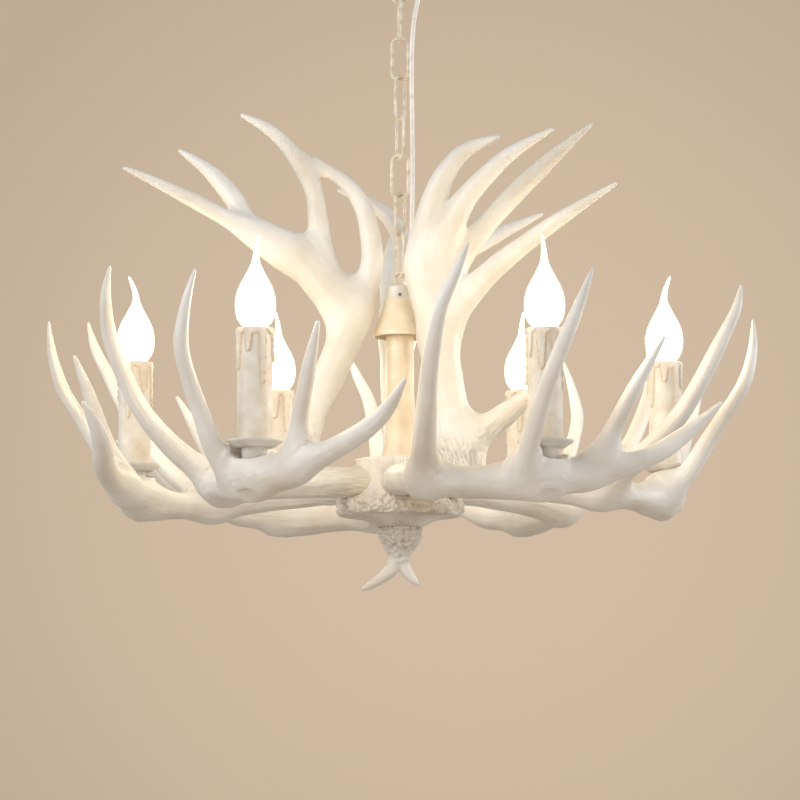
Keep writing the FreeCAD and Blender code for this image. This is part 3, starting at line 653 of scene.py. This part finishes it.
# The wax darkens along the sides of its runs, as painted shadow.
CANDLE_WAX = plain_finish("candle_wax", (247, 238, 224), (230, 212, 188), 50, 0.48, 300,
                          0.0004, glow=0.15, shaded_hollows=True)
STEEL = plain_finish("dull_steel", (170, 170, 170), (130, 130, 132), 90, 0.38, 700, 0.0002,
                     metallic=1.0)
BRASS = plain_finish("cap_brass", (214, 186, 120), (180, 150, 92), 160, 0.3, 700, 0.0002,
                     metallic=1.0)
CABLE_JACKET = plain_finish("cable_jacket", (246, 238, 230), (232, 222, 210), 120, 0.3, 900,
                            0.0001, coat=0.2, glow=0.2)
WHITE_PLASTIC = plain_finish("white_plastic", (230, 228, 222), (214, 210, 200), 80, 0.35, 800,
                             0.0002)

make_cable(CABLE_JACKET)

# ---- antlers ----

SKIN_VOXEL = 0.0012         # size of the grid that an antler's skin is read from
FINIAL_VOXEL = 0.0009
TUBE_SIDES = 20
LOWER_FORK = 0.026          # width over which a fork is filled
UPPER_FORK = 0.022
FORK_ROUNDS = 5
GRAIN_FADE = 0.010          # distance over which grooves fade where two tines meet
GROOVE_H = 0.0006
LUMP_H = 0.0009
GROOVE_PACE = (150, 14)     # noise steps in a metre, across a tine and along it
RIDGE_PACE = (380, 45)
LUMP_PACE = 28
PEARL = 0.0044              # distance between the finial's pearls
HUB_PEARL = 0.0042
FOOT_R = 0.022              # reach of the seat under an upper antler's foot
PRESS_H = 0.03              # skin as far as this past a seat is pressed back to it


def smooth_run(stations, step=0.004, tip=0.0):
    """Points and radii on a smooth line through a run's stations, drawn out by tip."""
    places = [Vector((x, y, z + DATUM, r)) for x, y, z, r in stations]
    if tip:
        ahead = (places[-1].xyz - places[-2].xyz).normalized() * tip
        places[-1] += Vector((*ahead, 0))
    last = len(places) - 1
    made = []
    for i in range(last):
        p0, p1, p2, p3 = (places[max(0, min(k, last))] for k in range(i - 1, i + 3))
        parts = max(2, round((p2 - p1).length / step))
        for k in range(parts):
            t = k / parts
            made.append((2 * p1 + (p2 - p0) * t + (2 * p0 - 5 * p1 + 4 * p2 - p3) * t ** 2
                         + (3 * p1 - p0 - 3 * p2 + p3) * t ** 3) * 0.5)
    made.append(places[-1])
    return [p.xyz for p in made], [p.w for p in made]


def reskinned(mesh, voxel, rounds):
    """The same form in one even skin, with whatever overlaps melted together."""
    rough = link(bpy.data.objects.new("rough_form", mesh))
    skin = rough.modifiers.new("skin", "REMESH")
    skin.mode = "VOXEL"
    skin.voxel_size = voxel
    ease = rough.modifiers.new("ease", "SMOOTH")
    ease.factor = 0.5
    ease.iterations = rounds
    graph = bpy.context.evaluated_depsgraph_get()
    made = bpy.data.meshes.new_from_object(rough.evaluated_get(graph))
    bpy.data.objects.remove(rough)
    bpy.data.meshes.remove(mesh)
    return made


def searched(runs):
    """Each run as a tree that finds the nearest of its points, and its radii."""
    tubes = []
    for points, radii in runs:
        tree = kdtree.KDTree(len(points))
        for i, point in enumerate(points):
            tree.insert(point, i)
        tree.balance()
        tubes.append((tree, radii))
    return tubes


def melted(name, runs, voxel, fork=0.0, beam_flat=1.0):
    """One closed skin round several tubes, with the forks between them filled."""
    def build(form):
        for number, (points, radii) in enumerate(runs):
            add_tube(form, points, radii, TUBE_SIDES, 1.0 if number else beam_flat)

    made = reskinned(mesh_from(name + "_tubes", build), voxel, 3)
    if fork:
        fill_forks(made, runs, fork)
        made = reskinned(made, voxel, 4)
    made.name = name
    return made


def tubes_by_depth(tubes, place):
    """Each tube's gap to a place, its number, nearest point and way out, nearest first."""
    found = []
    for number, (tree, radii) in enumerate(tubes):
        centre, i, distance = tree.find(place)
        found.append((distance - radii[i], number, i, (place - centre).normalized()))
    return sorted(found, key=lambda one: one[0])


def blended_depth(tubes, place, reach):
    """Distance from tubes that melt together within reach, and the way out of them."""
    (level, _, _, way), *others = tubes_by_depth(tubes, place)
    for gap, _, _, other in others:
        share = max(0.0, reach - (gap - level)) / reach
        level -= share ** 2 * reach / 4
        way = way.lerp(other, share / 2)
    return level, way


def fill_forks(mesh, runs, reach):
    """Round the inner corners where a tine leaves its beam, as wide as reach allows."""
    tubes = searched(runs)
    for vertex in mesh.vertices:
        place = vertex.co.copy()
        found = tubes_by_depth(tubes, place)
        level = found[0][0]
        close = [tubes[number] for gap, number, *_ in found if gap - level < reach]
        if len(close) < 2:
            continue
        for _ in range(FORK_ROUNDS):
            now, way = blended_depth(close, place, reach)
            place += way * ((level - now) / max(way.length_squared, 0.2))
        vertex.co = place


def pearl(place, size):
    """Height of closely set pearls, from about -0.5 in the pits to 0.5 on their tops."""
    near = noise.voronoi(place / size, distance_metric="DISTANCE")[0]
    return 0.5 - near[0] * 1.1


def carve(mesh, runs, bark_at, ridges=0.0030, pearls=0.0):
    """Grooves, lumps and bark on an antler's skin, and where they run, for its material, and how
    sunken the skin is, for painted shade.
    """
    tubes = searched(runs)
    samples = []
    for points, radii in runs:
        lengths = [0.0]
        for near, far in zip(points, points[1:]):
            lengths.append(lengths[-1] + (far - near).length)
        samples.append(list(zip(points, radii, axes_along(points), lengths)))
    mesh.attributes.new("flow", "FLOAT_VECTOR", "POINT")
    for name in ("bark", "sunken_shade", "grain"):
        mesh.attributes.new(name, "FLOAT", "POINT")
    flow, bark, sunken_shade, grain = (mesh.attributes[name].data
                                 for name in ("flow", "bark", "sunken_shade", "grain"))
    normals = [vertex.normal.copy() for vertex in mesh.vertices]
    for vertex, normal in zip(mesh.vertices, normals):
        (depth, number, i, _), (next_depth, *_), *_ = tubes_by_depth(tubes, vertex.co)
        point, radius, (ahead, side, rise), length = samples[number][i]
        clear = min(1.0, (next_depth - depth) / GRAIN_FADE)
        out = vertex.co - point
        around = Vector((out.dot(side), out.dot(rise)))
        length += out.dot(ahead)
        rough = bark_at(vertex.co)
        groove, ridge = (
            noise.noise(Vector((around.x * across, around.y * across, length * along)))
            for across, along in (GROOVE_PACE, RIDGE_PACE))
        lump = noise.noise(vertex.co * LUMP_PACE)
        thin = min(radius / 0.012, 1.0)
        lift = thin * (GROOVE_H * groove * clear + LUMP_H * lump)
        relief = rough * ridges * (abs(ridge) - 0.25) * clear
        if pearls and rough:
            relief += rough * pearls * pearl(vertex.co, PEARL)
        flow[vertex.index].vector = (around.x, around.y, length)
        bark[vertex.index].value = rough
        grain[vertex.index].value = clear
        # Painted shade: the material darkens the skin as far as the relief sinks here.
        sunken_shade[vertex.index].value = clamp(-relief / (0.3 * ridges + pearls))
        vertex.co += normal * (lift + relief)


def press_down(mesh, place, reach, level, depth=PRESS_H):
    """Flatten the skin to a seat's level, from above or, at a negative depth, from below."""
    low, high = sorted((level, level + depth))
    for vertex in mesh.vertices:
        if low < vertex.co.z < high and (vertex.co.xy - place.xy).length <= reach:
            vertex.co.z = level


def clear_of_hub(mesh):
    """Draw the root's end back to the hub's side."""
    nearest = HUB_R - 0.001
    for vertex in mesh.vertices:
        flat = vertex.co.xy
        if flat.length < nearest:
            vertex.co.xy = flat.normalized() * nearest


def lower_bark(place):
    """Bark near the root of a lower antler, thinning away from the hub."""
    return clamp((0.125 - place.xy.length) / 0.06) * 0.45


def upper_bark(place):
    """Bark at the foot of an upper antler, thinning as the trunk rises."""
    return clamp((-0.445 - place.z) / 0.05)


def make_lower_antlers():
    """Six alike antlers, each turned to its light."""
    runs = [smooth_run(stations, tip=TIP) for stations in (LOWER_BEAM, *LOWER_TINES)]
    runs.append(smooth_run(CANDLE_BOSS))
    mesh = melted("lower_antler", runs, SKIN_VOXEL, LOWER_FORK, BEAM_FLAT)
    carve(mesh, runs, lower_bark)
    press_down(mesh, Vector((RING_R, 0, 0)), CUP_R + 0.002, SEAT_Z)
    clear_of_hub(mesh)
    for k in range(LIGHTS):
        own = mesh.copy()
        own.transform(Matrix.Rotation(2 * pi * k / LIGHTS, 4, "Z"))
        for stations in UPPER_ANTLERS:
            press_down(own, Vector(stations[0][0][:3]), FOOT_R, UPPER_SEAT_Z)
        piece = add_object("antler_lower_%d" % (k + 1), own)
        dress(piece, "lamp", "antler_resin", ANTLER, "lower_antler_%d" % (k + 1))


def make_upper_antlers():
    """Three antlers that stand round the column."""
    for k, stations in enumerate(UPPER_ANTLERS):
        name = "upper_antler_%d" % (k + 1)
        runs = [smooth_run(run, tip=TIP) for run in stations]
        mesh = melted(name, runs, SKIN_VOXEL, UPPER_FORK)
        carve(mesh, runs, upper_bark)
        press_down(mesh, runs[0][0][0], 0.06, UPPER_SEAT_Z, -PRESS_H)
        piece = add_object("antler_upper_%d" % (k + 1), mesh)
        dress(piece, "lamp", "antler_resin", ANTLER, name)


make_lower_antlers()
make_upper_antlers()

# ---- chain, ring and loop ----


def oval_points(top, bottom, width):
    """Middle line of an upright oval of wire, from its outside height and width."""
    radius = (width - WIRE_D) / 2
    middle = (top + bottom) / 2
    half = (top - bottom - width) / 2
    points = []
    for side in (1, -1):
        for i in range(17):
            angle = pi * i / 16
            x = side * radius * cos(angle)
            z = side * (-half - radius * sin(angle))
            points.append(Vector((x, 0, middle + z)))
        for i in range(1, 6):
            share = i / 6
            points.append(Vector((-side * radius, 0, middle - side * half * (1 - 2 * share))))
    return points


def oval_mesh(name, top, bottom, width, weld):
    """Oval of painted wire with a weld on one side."""
    points = oval_points(top, bottom, width)
    middle = (top + bottom) / 2
    radii = []
    for point in points:
        near = exp(-((point.z - middle) / 0.0022) ** 2) if point.x > 0 else 0
        uneven = noise.noise(point * 90) * 0.00008
        radii.append(WIRE_D / 2 + weld * near + uneven)
    return mesh_from(name, lambda form: add_loop(form, points, radii, 16))


def make_chain():
    """Seven welded links, each turned against the one above it."""
    for k, degrees in enumerate(LINK_TURNS):
        middle = FIRST_LINK_Z - k * LINK_DROP
        mesh = oval_mesh("link", middle + LINK_L / 2, middle - LINK_L / 2, LINK_W, 0.00022)
        mesh.transform(Matrix.Rotation(radians(degrees), 4, "Z"))
        piece = add_object("link_%d" % (k + 1), mesh)
        dress(piece, "link_%d" % (k + 1), "painted_chain", CHAIN_PAINT, "chain_link_%d" % (k + 1))


def make_hanging_loop():
    """Loop of wire on a short neck that screws into the collar."""
    piece = add_object("hanging_loop_wire", oval_mesh("loop", *LOOP_Z, LOOP_W, 0.0))
    dress(piece, "lamp", "painted_chain", CHAIN_PAINT, "hanging_loop")
    neck = eased([(0, COLLAR_TOP - 0.005), (0.003, COLLAR_TOP - 0.005), (0.003, COLLAR_TOP),
                  (0.0046, COLLAR_TOP), (0.0046, COLLAR_TOP + 0.0016),
                  (0.0028, LOOP_Z[1] + 0.0022), (0, LOOP_Z[1] + 0.0024)], 0.0004)
    turned_piece("hanging_loop_neck", neck, 40, "lamp", "painted_chain", CHAIN_PAINT)


make_chain()
make_hanging_loop()

# ---- canopy ----


def make_canopy():
    """Pressed canopy with a stepped edge, and the ring that hangs from it on its shank."""
    wall = 0.0012
    outside = [(CANOPY_R - wall, 0), (CANOPY_R, 0), (CANOPY_R, -0.0061), (0.046, -0.01215),
               (0.026, -0.024), (0.008, -CANOPY_H), (0.0043, -CANOPY_H)]
    inside = [(r - wall * 0.6 if r > 0.01 else r, z + wall) for r, z in outside[:1:-1]]
    profile = eased(outside + inside + [(CANOPY_R - wall, 0)], 0.0022)
    turned_piece("canopy_cover", profile, 96, "canopy", "painted_metal_white", WHITE_PAINT,
                 "canopy")
    ring = oval_mesh("ring", *RING_Z, RING_W, 0.0002)
    ring.transform(Matrix.Rotation(radians(RING_TURN), 4, "Z"))
    piece = add_object("ceiling_hook_ring", ring)
    dress(piece, "canopy", "painted_chain", CHAIN_PAINT, "ceiling_hook")
    shank = eased([(0, -0.0385), (0.0032, -0.0375), (0.004, -0.0345), (0.004, -0.0005),
                   (0, -0.0005)], 0.0006)
    turned_piece("ceiling_hook_shank", shank, 32, "canopy", "steel", STEEL)


make_canopy()

# ---- column, cap, hub and finial ----


def make_column():
    """Smooth column with a flared foot, under a cone cap."""
    brim = 0.0035
    cap = eased([(BORE_R, CAP_TOP), (0.013, CAP_TOP), (0.025, CAP_BOTTOM + brim),
                 (0.025, CAP_BOTTOM), (0.0232, CAP_BOTTOM), (0.0232, CAP_BOTTOM + brim),
                 (0.0168, SHAFT_TOP), (BORE_R, SHAFT_TOP)], 0.0009)
    turned_piece("column_cap_cone", cap, 80, "lamp", "cream_resin", CREAM_RESIN, "column_cap")
    flare_top = HUB_TOP + 0.030
    shaft = [(COLUMN_BORE_R, SHAFT_TOP), (COLUMN_R, SHAFT_TOP), (COLUMN_R, flare_top)]
    shaft += [(COLUMN_R + 0.005 * share ** 2.2, flare_top - 0.0285 * share)
              for share in shares(8)]
    shaft += [(0.018, HUB_TOP), (COLUMN_BORE_R, HUB_TOP)]
    turned_piece("column_shaft", eased(shaft, 0.0008), 64, "lamp", "cream_resin", CREAM_RESIN,
                 "column")


def hub_relief(angle, radius, z):
    """Fine upright ribs on the hub, pearls on its thick coronet, and rays below it."""
    x, y = Vector((cos(angle), sin(angle)))
    drift = noise.noise(Vector((x * 3, y * 3, z * 30)))
    rib = abs(sin(HUB_RIBS / 2 * angle + 1.6 * drift)) - 0.6
    point = Vector((x * radius, y * radius, z))
    crumb = noise.noise(point * 420)
    if z < CORONET_Z[1]:
        return 0.0016 * rib + 0.0009 * crumb
    broad = noise.noise(Vector((x * 6, y * 6, z * 24)))
    ribbed = 0.0009 * rib + 0.0014 * broad + 0.0004 * crumb
    ribbed *= clamp((HUB_TOP - 0.0015 - z) / 0.005)
    near = clamp((CORONET_Z[0] + 0.004 - z) / 0.005)
    crinkle = 0.0044 * pearl(point, HUB_PEARL) + 0.0022 * noise.noise(point * 110) + 0.0010 * crumb
    return ribbed * (1 - near) + near * crinkle


def hub_hollow(place):
    """How sunken the hub's skin is at a place, for painted shade there."""
    relief = hub_relief(atan2(place.y, place.x), place.xy.length, place.z)
    return -relief / 0.0026


def make_hub():
    """Hub like the burr of an antler: ribbed above, with a thick coronet of pearls."""
    rim_top, rim_foot = CORONET_Z
    profile = [(COLUMN_BORE_R, HUB_TOP), (0.030, HUB_TOP), (HUB_R - 0.003, HUB_TOP - 0.0002),
               (HUB_R - 0.0008, HUB_TOP - 0.001)]
    profile += [(HUB_R, HUB_TOP - 0.0025 - 0.0008 * i) for i in range(24)]
    side_foot = profile[-1][1]
    drop = side_foot - rim_top
    profile += [(HUB_R + 0.0085 * share ** 1.6, side_foot - drop * share)
                for share in shares(16)]
    rim_r = profile[-1][0]
    reach = CORONET_R - 0.001 - rim_r
    middle = (rim_top + rim_foot) / 2
    half = (rim_top - rim_foot) / 2
    for i in range(29):
        angle = pi * (0.5 - i / 28)
        profile.append((rim_r + reach * cos(angle) ** 0.6, middle + half * sin(angle)))
    profile += [(0.0525 - 0.0325 * share, rim_foot - 0.0004 - 0.0096 * share ** 2.2)
                for share in shares(32)]
    mesh = turned_mesh("hub_burr", profile + [(0, FINIAL_TOP)], 720, hub_relief)
    mark_sunken(mesh, hub_hollow)
    dress(add_object("hub_burr", mesh), "lamp", "cream_resin", HUB_BARK, "hub")


def finial_bark(place):
    """Bark on the bulb and stem of the finial, which ends at the smooth prongs."""
    return clamp((place.z + 0.588) / 0.014)


def make_finial():
    """Bark bulb that tapers to a stem and parts into two smooth prongs."""
    stem_z = -0.1496
    bulb = ((FINIAL_TOP - DATUM + 0.003, 0.0190), (-0.1248, 0.0201), (-0.1341, 0.0167),
            (-0.1434, 0.0105), (stem_z, 0.0085), (stem_z - 0.003, 0.0070))
    forms = [[(0, 0, z, radius) for z, radius in bulb]]
    top = stem_z + 0.005
    for out, drop, thick in ((-0.036, 0.032, 0.00714), (0.017, 0.027, 0.00646)):
        prong = [(out * aside, 0, top - drop * down, thick * share) for aside, down, share in (
            (0.04, 0, 1), (0.20, 0.35, 0.92), (0.46, 0.62, 0.76), (0.78, 0.86, 0.52))]
        forms.append(prong + [(out, 0, top - drop * 0.97, 0.0014)])
    runs = [smooth_run(stations, 0.002) for stations in forms]
    mesh = melted("finial_burr", runs, FINIAL_VOXEL)
    carve(mesh, runs, finial_bark, ridges=0.0022, pearls=0.0046)
    press_down(mesh, Vector((0, 0, 0)), 0.03, FINIAL_TOP)
    piece = add_object("finial_burr", mesh)
    dress(piece, "lamp", "antler_resin", ANTLER, "finial")


make_column()
make_hub()
make_finial()

# ---- candle lights ----

FILAMENT_POWER = 0.42
FILAMENT_COLOR = (1.0, 0.80, 0.50)
WAX_T = 0.0012
SLEEVE_WALL = 0.0016
SLEEVE_STEP = 47            # degrees that each sleeve is turned from the one before it
# Runs of wax: place round the sleeve in degrees, length and half width.
DRIPS = ((20, 0.034, 0.0024), (62, 0.020, 0.0020), (110, 0.049, 0.0019), (165, 0.027, 0.0026),
         (212, 0.040, 0.0021), (262, 0.019, 0.0022), (305, 0.045, 0.0020), (338, 0.024, 0.0018))


def wax_relief(angle, radius, z):
    """Wax that coats the sleeve's top and runs down it, thickest at its lower edge."""
    if radius < SLEEVE_R - 0.0005:
        return 0
    x, y = Vector((cos(angle), sin(angle)))
    lift = 0.00012 * noise.noise(Vector((x * 2, y * 2, z * 60)))
    below = SLEEVE_TOP - z
    edge = 0.005 + 0.004 * noise.noise(Vector((x * 1.6, y * 1.6, 3.0)))
    for degrees, length, thick in DRIPS:
        aside = (angle - radians(degrees) + pi) % (2 * pi) - pi
        edge = max(edge, length * 1.08 * exp(-(aside * SLEEVE_R / (1.55 * thick)) ** 4))
    inside = clamp((edge - below) / 0.0009 + 0.5)
    bead = 0.8 * exp(-((edge - below - 0.0014) / 0.0018) ** 2)
    return lift + inside * WAX_T * (1 + bead)


def wax_edge(place):
    """How near a place on the sleeve is to the side of a run of wax, where painted shadow goes."""
    angle = atan2(place.y, place.x)
    before, after = (wax_relief(angle + turn, SLEEVE_R, place.z) for turn in (-0.08, 0.08))
    return abs(before - after) / WAX_T


def sleeve_profile():
    """Outside, lip and inside of the candle sleeve."""
    low = SLEEVE_TOP - 0.052
    outside = [(SLEEVE_R, PAN_FLOOR_Z + (low - PAN_FLOOR_Z) * i / 16) for i in range(16)]
    outside += [(SLEEVE_R, low + 0.0006 * i) for i in range(86)]
    lip = [(SLEEVE_R, SLEEVE_TOP - 0.0006), (SLEEVE_R - 0.0003, SLEEVE_TOP - 0.0001),
           (SLEEVE_R - 0.0008, SLEEVE_TOP), (SLEEVE_R - 0.0014, SLEEVE_TOP - 0.0003)]
    inside = [(SLEEVE_R - SLEEVE_WALL, SLEEVE_TOP - 0.001),
              (SLEEVE_R - SLEEVE_WALL, PAN_FLOOR_Z)]
    return outside + lip + inside


def glass_run(lean):
    """Middle line and radii of a flame-tip bulb whose drawn-out tip leans aside."""
    shape = ((0.34, 0.0), (0.47, 0.03), (0.66, 0.075), (0.82, 0.13), (0.92, 0.19), (0.975, 0.26),
             (1.0, 0.34), (0.995, 0.41), (0.965, 0.47), (0.91, 0.54), (0.82, 0.61), (0.70, 0.68),
             (0.56, 0.75), (0.43, 0.82), (0.31, 0.89), (0.225, 0.945), (0.175, 1.0))
    points = [Vector((0, 0, BULB_FOOT + GLASS_H * rise)) for share, rise in shape]
    radii = [GLASS_R * share for share, rise in shape]
    top = BULB_FOOT + GLASS_H - 0.003
    for rise, aside, share in ((0.30, 0.10, 0.150), (0.45, 0.22, 0.130), (0.60, 0.42, 0.112),
                               (0.75, 0.63, 0.094), (0.90, 0.85, 0.070), (0.97, 0.96, 0.052),
                               (1.0, 1.0, 0.025)):
        points.append(Vector((lean * aside, 0, top + TAIL_L * rise)))
        radii.append(GLASS_R * share)
    return points, radii


def add_light(name, kind, place, power, color):
    """One light of the scene."""
    data = bpy.data.lights.new(name, kind)
    data.energy = power
    data.color = color
    light = link(bpy.data.objects.new(name, data))
    light.location = place
    return light


def add_filament(number, glass):
    """Warm light inside a bulb, which moves with its glass."""
    place = (0, 0, BULB_FOOT + 0.4 * GLASS_H)
    light = add_light("filament_%d" % number, "POINT", place, FILAMENT_POWER, FILAMENT_COLOR)
    light.data.shadow_soft_size = 0.014
    light.parent = glass


def light_piece(name, number, mesh, turn, body, slot, surface, node):
    """One piece of a candle light, on that light's axis."""
    piece = add_object("%s_%d" % (name, number), mesh)
    angle = 2 * pi * (number - 1) / LIGHTS
    piece.location = (RING_R * cos(angle), RING_R * sin(angle), 0)
    piece.rotation_euler.z = turn
    return dress(piece, body, slot, surface, "%s_%d" % (node, number))


def make_candles():
    """Cup and pan, wax sleeve, glass and screw cap of each light."""
    waist_z = SEAT_Z + 0.0135
    cup = eased([(BORE_R, SEAT_Z), (0.008, SEAT_Z), (0.010, SEAT_Z + 0.0034),
                 (CUP_R, SEAT_Z + 0.0081), (CUP_R, waist_z), (0.0165, waist_z),
                 (PAN_R - 0.0004, SEAT_Z + 0.0182), (PAN_R, SEAT_Z + 0.0199),
                 (PAN_R - 0.0013, SEAT_Z + 0.0201), (0.0165, PAN_FLOOR_Z),
                 (BORE_R, PAN_FLOOR_Z)], 0.0011, 4)
    pan_mesh = turned_mesh("pan", cup, 72)
    sleeve_mesh = turned_mesh("sleeve", sleeve_profile(), 180, wax_relief)
    mark_sunken(sleeve_mesh, wax_edge)
    thread = [(0.0066 if i % 2 else 0.0069, -0.018 + 0.0009 * i) for i in range(13)]
    cap = [(0, -0.022), (0.003, -0.022), (0.0045, -0.0195), (0.0062, -0.0186), *thread,
           (0.0069, -0.006), (0.0069, 0), (0, 0)]
    cap_mesh = turned_mesh("screw_cap", [(r, z + BULB_FOOT) for r, z in cap], 48)
    for k in range(LIGHTS):
        number = k + 1
        bulb = "bulb_%d" % number
        light_piece("pan", number, pan_mesh, 0, "lamp", "painted_metal_white", WHITE_PAINT,
                    "drip_pan")
        light_piece("wax_sleeve", number, sleeve_mesh, radians(SLEEVE_STEP * k), "lamp",
                    "candle_wax_plastic", CANDLE_WAX, "candle_sleeve")
        line = glass_run(TAIL_LEAN[k])
        mesh = mesh_from("glass", lambda form: add_tube(form, *line, 48))
        glass = light_piece("flame_glass", number, mesh, 0, bulb, "lit_glass", LIT_GLASS,
                            "bulb_glass")
        glass.visible_shadow = False
        add_filament(number, glass)
        light_piece("screw_cap", number, cap_mesh, 0, bulb, "bulb_brass", BRASS, "bulb_cap")


make_candles()

# ---- solids that keep their own shape ----

KEPT = (
    (STEEL, ("mounting_bar", "hook_nuts", "grub_screw", "tie_rod", "hub_nuts", "antler_screws",
             "candle_tubes")),
    (WHITE_PLASTIC, ("cable_grip", "terminal_block", "lampholders")),
    (WHITE_PAINT, ("top_collar",)),
)
for surface, names in KEPT:
    for name in names:
        paint(nodes[name].data, surface)

# ---- floor, backdrop and lamps ----

FLOOR_Z = -2.30
# The wall's colour at a pool of painted light, and round it.
BACKDROP = srgb(210, 188, 164)
BACKDROP_EDGE = srgb(192, 173, 149)
PAINTED_LIGHT_MIDDLE = Vector((0.025, 0.995, 0.098)).normalized()    # way to the wall's lightest spot
PAINTED_LIGHT_SPREAD = (0.976, 0.998)            # cosines where that spot fades out and is full
ROOM_LIGHT = (0.86, 0.94, 1.05, 1)
ROOM_POWER = 0.54


def make_floor():
    """Plain pale floor, well below the lamp."""
    mesh = mesh_from("floor", lambda form: bmesh.ops.create_circle(
        form, cap_ends=True, segments=96, radius=4.0))
    floor = add_object("floor", mesh)
    floor.location.z = FLOOR_Z
    mesh.materials.append(plain_finish("floor_paint", (206, 188, 166), (200, 180, 158), 2, 0.7,
                                       60, 0.0004))


def make_backdrop():
    """World that the camera, gloss and glass see as a warm beige wall, with a pool of light
    painted on it in one spot.
    """
    world = bpy.data.worlds.new("studio")
    world.use_nodes = True
    tree = world.node_tree
    tree.nodes.clear()
    path = add_node(tree, "LightPath").outputs
    seen = math_node(tree, "MAXIMUM", path["Is Camera Ray"], path["Is Glossy Ray"],
                     path["Is Transmission Ray"])
    room = add_node(tree, "Background", {"Color": ROOM_LIGHT, "Strength": ROOM_POWER})
    place = add_node(tree, "TexCoord").outputs["Generated"]
    toward = add_node(tree, "VectorMath", {0: place, 1: PAINTED_LIGHT_MIDDLE}, operation="DOT_PRODUCT")
    share = rescaled(tree, toward.outputs["Value"], *PAINTED_LIGHT_SPREAD)
    tone = mixed(tree, share, BACKDROP_EDGE, BACKDROP)
    wall = add_node(tree, "Background", {"Color": tone, "Strength": 1.0})
    mix = add_node(tree, "MixShader", {0: seen, 1: room.outputs[0], 2: wall.outputs[0]})
    add_node(tree, "OutputWorld", {"Surface": mix.outputs[0]})
    bpy.context.scene.world = world


def add_lamp(name, place, aim, size, power, color):
    """Soft area lamp that points at a place."""
    lamp = add_light(name, "AREA", place, power, color)
    lamp.data.size = size
    lamp.rotation_mode = "QUATERNION"
    lamp.rotation_quaternion = (Vector(aim) - Vector(place)).to_track_quat("-Z", "Y")


make_floor()
make_backdrop()
add_lamp("left_softbox", (-1.9, -1.4, 0.4), CAMERA_AIM, 1.4, 26, (0.95, 0.98, 1.0))
add_lamp("floor_glow", (0.2, -1.3, -1.05), (0, 0, -0.5), 1.0, 3.2, (1.0, 0.86, 0.70))
add_lamp("right_softbox", (2.0, 0.4, 0.2), CAMERA_AIM, 1.4, 22, (0.97, 0.98, 1.0))
bpy.context.scene.view_settings.view_transform = "Standard"
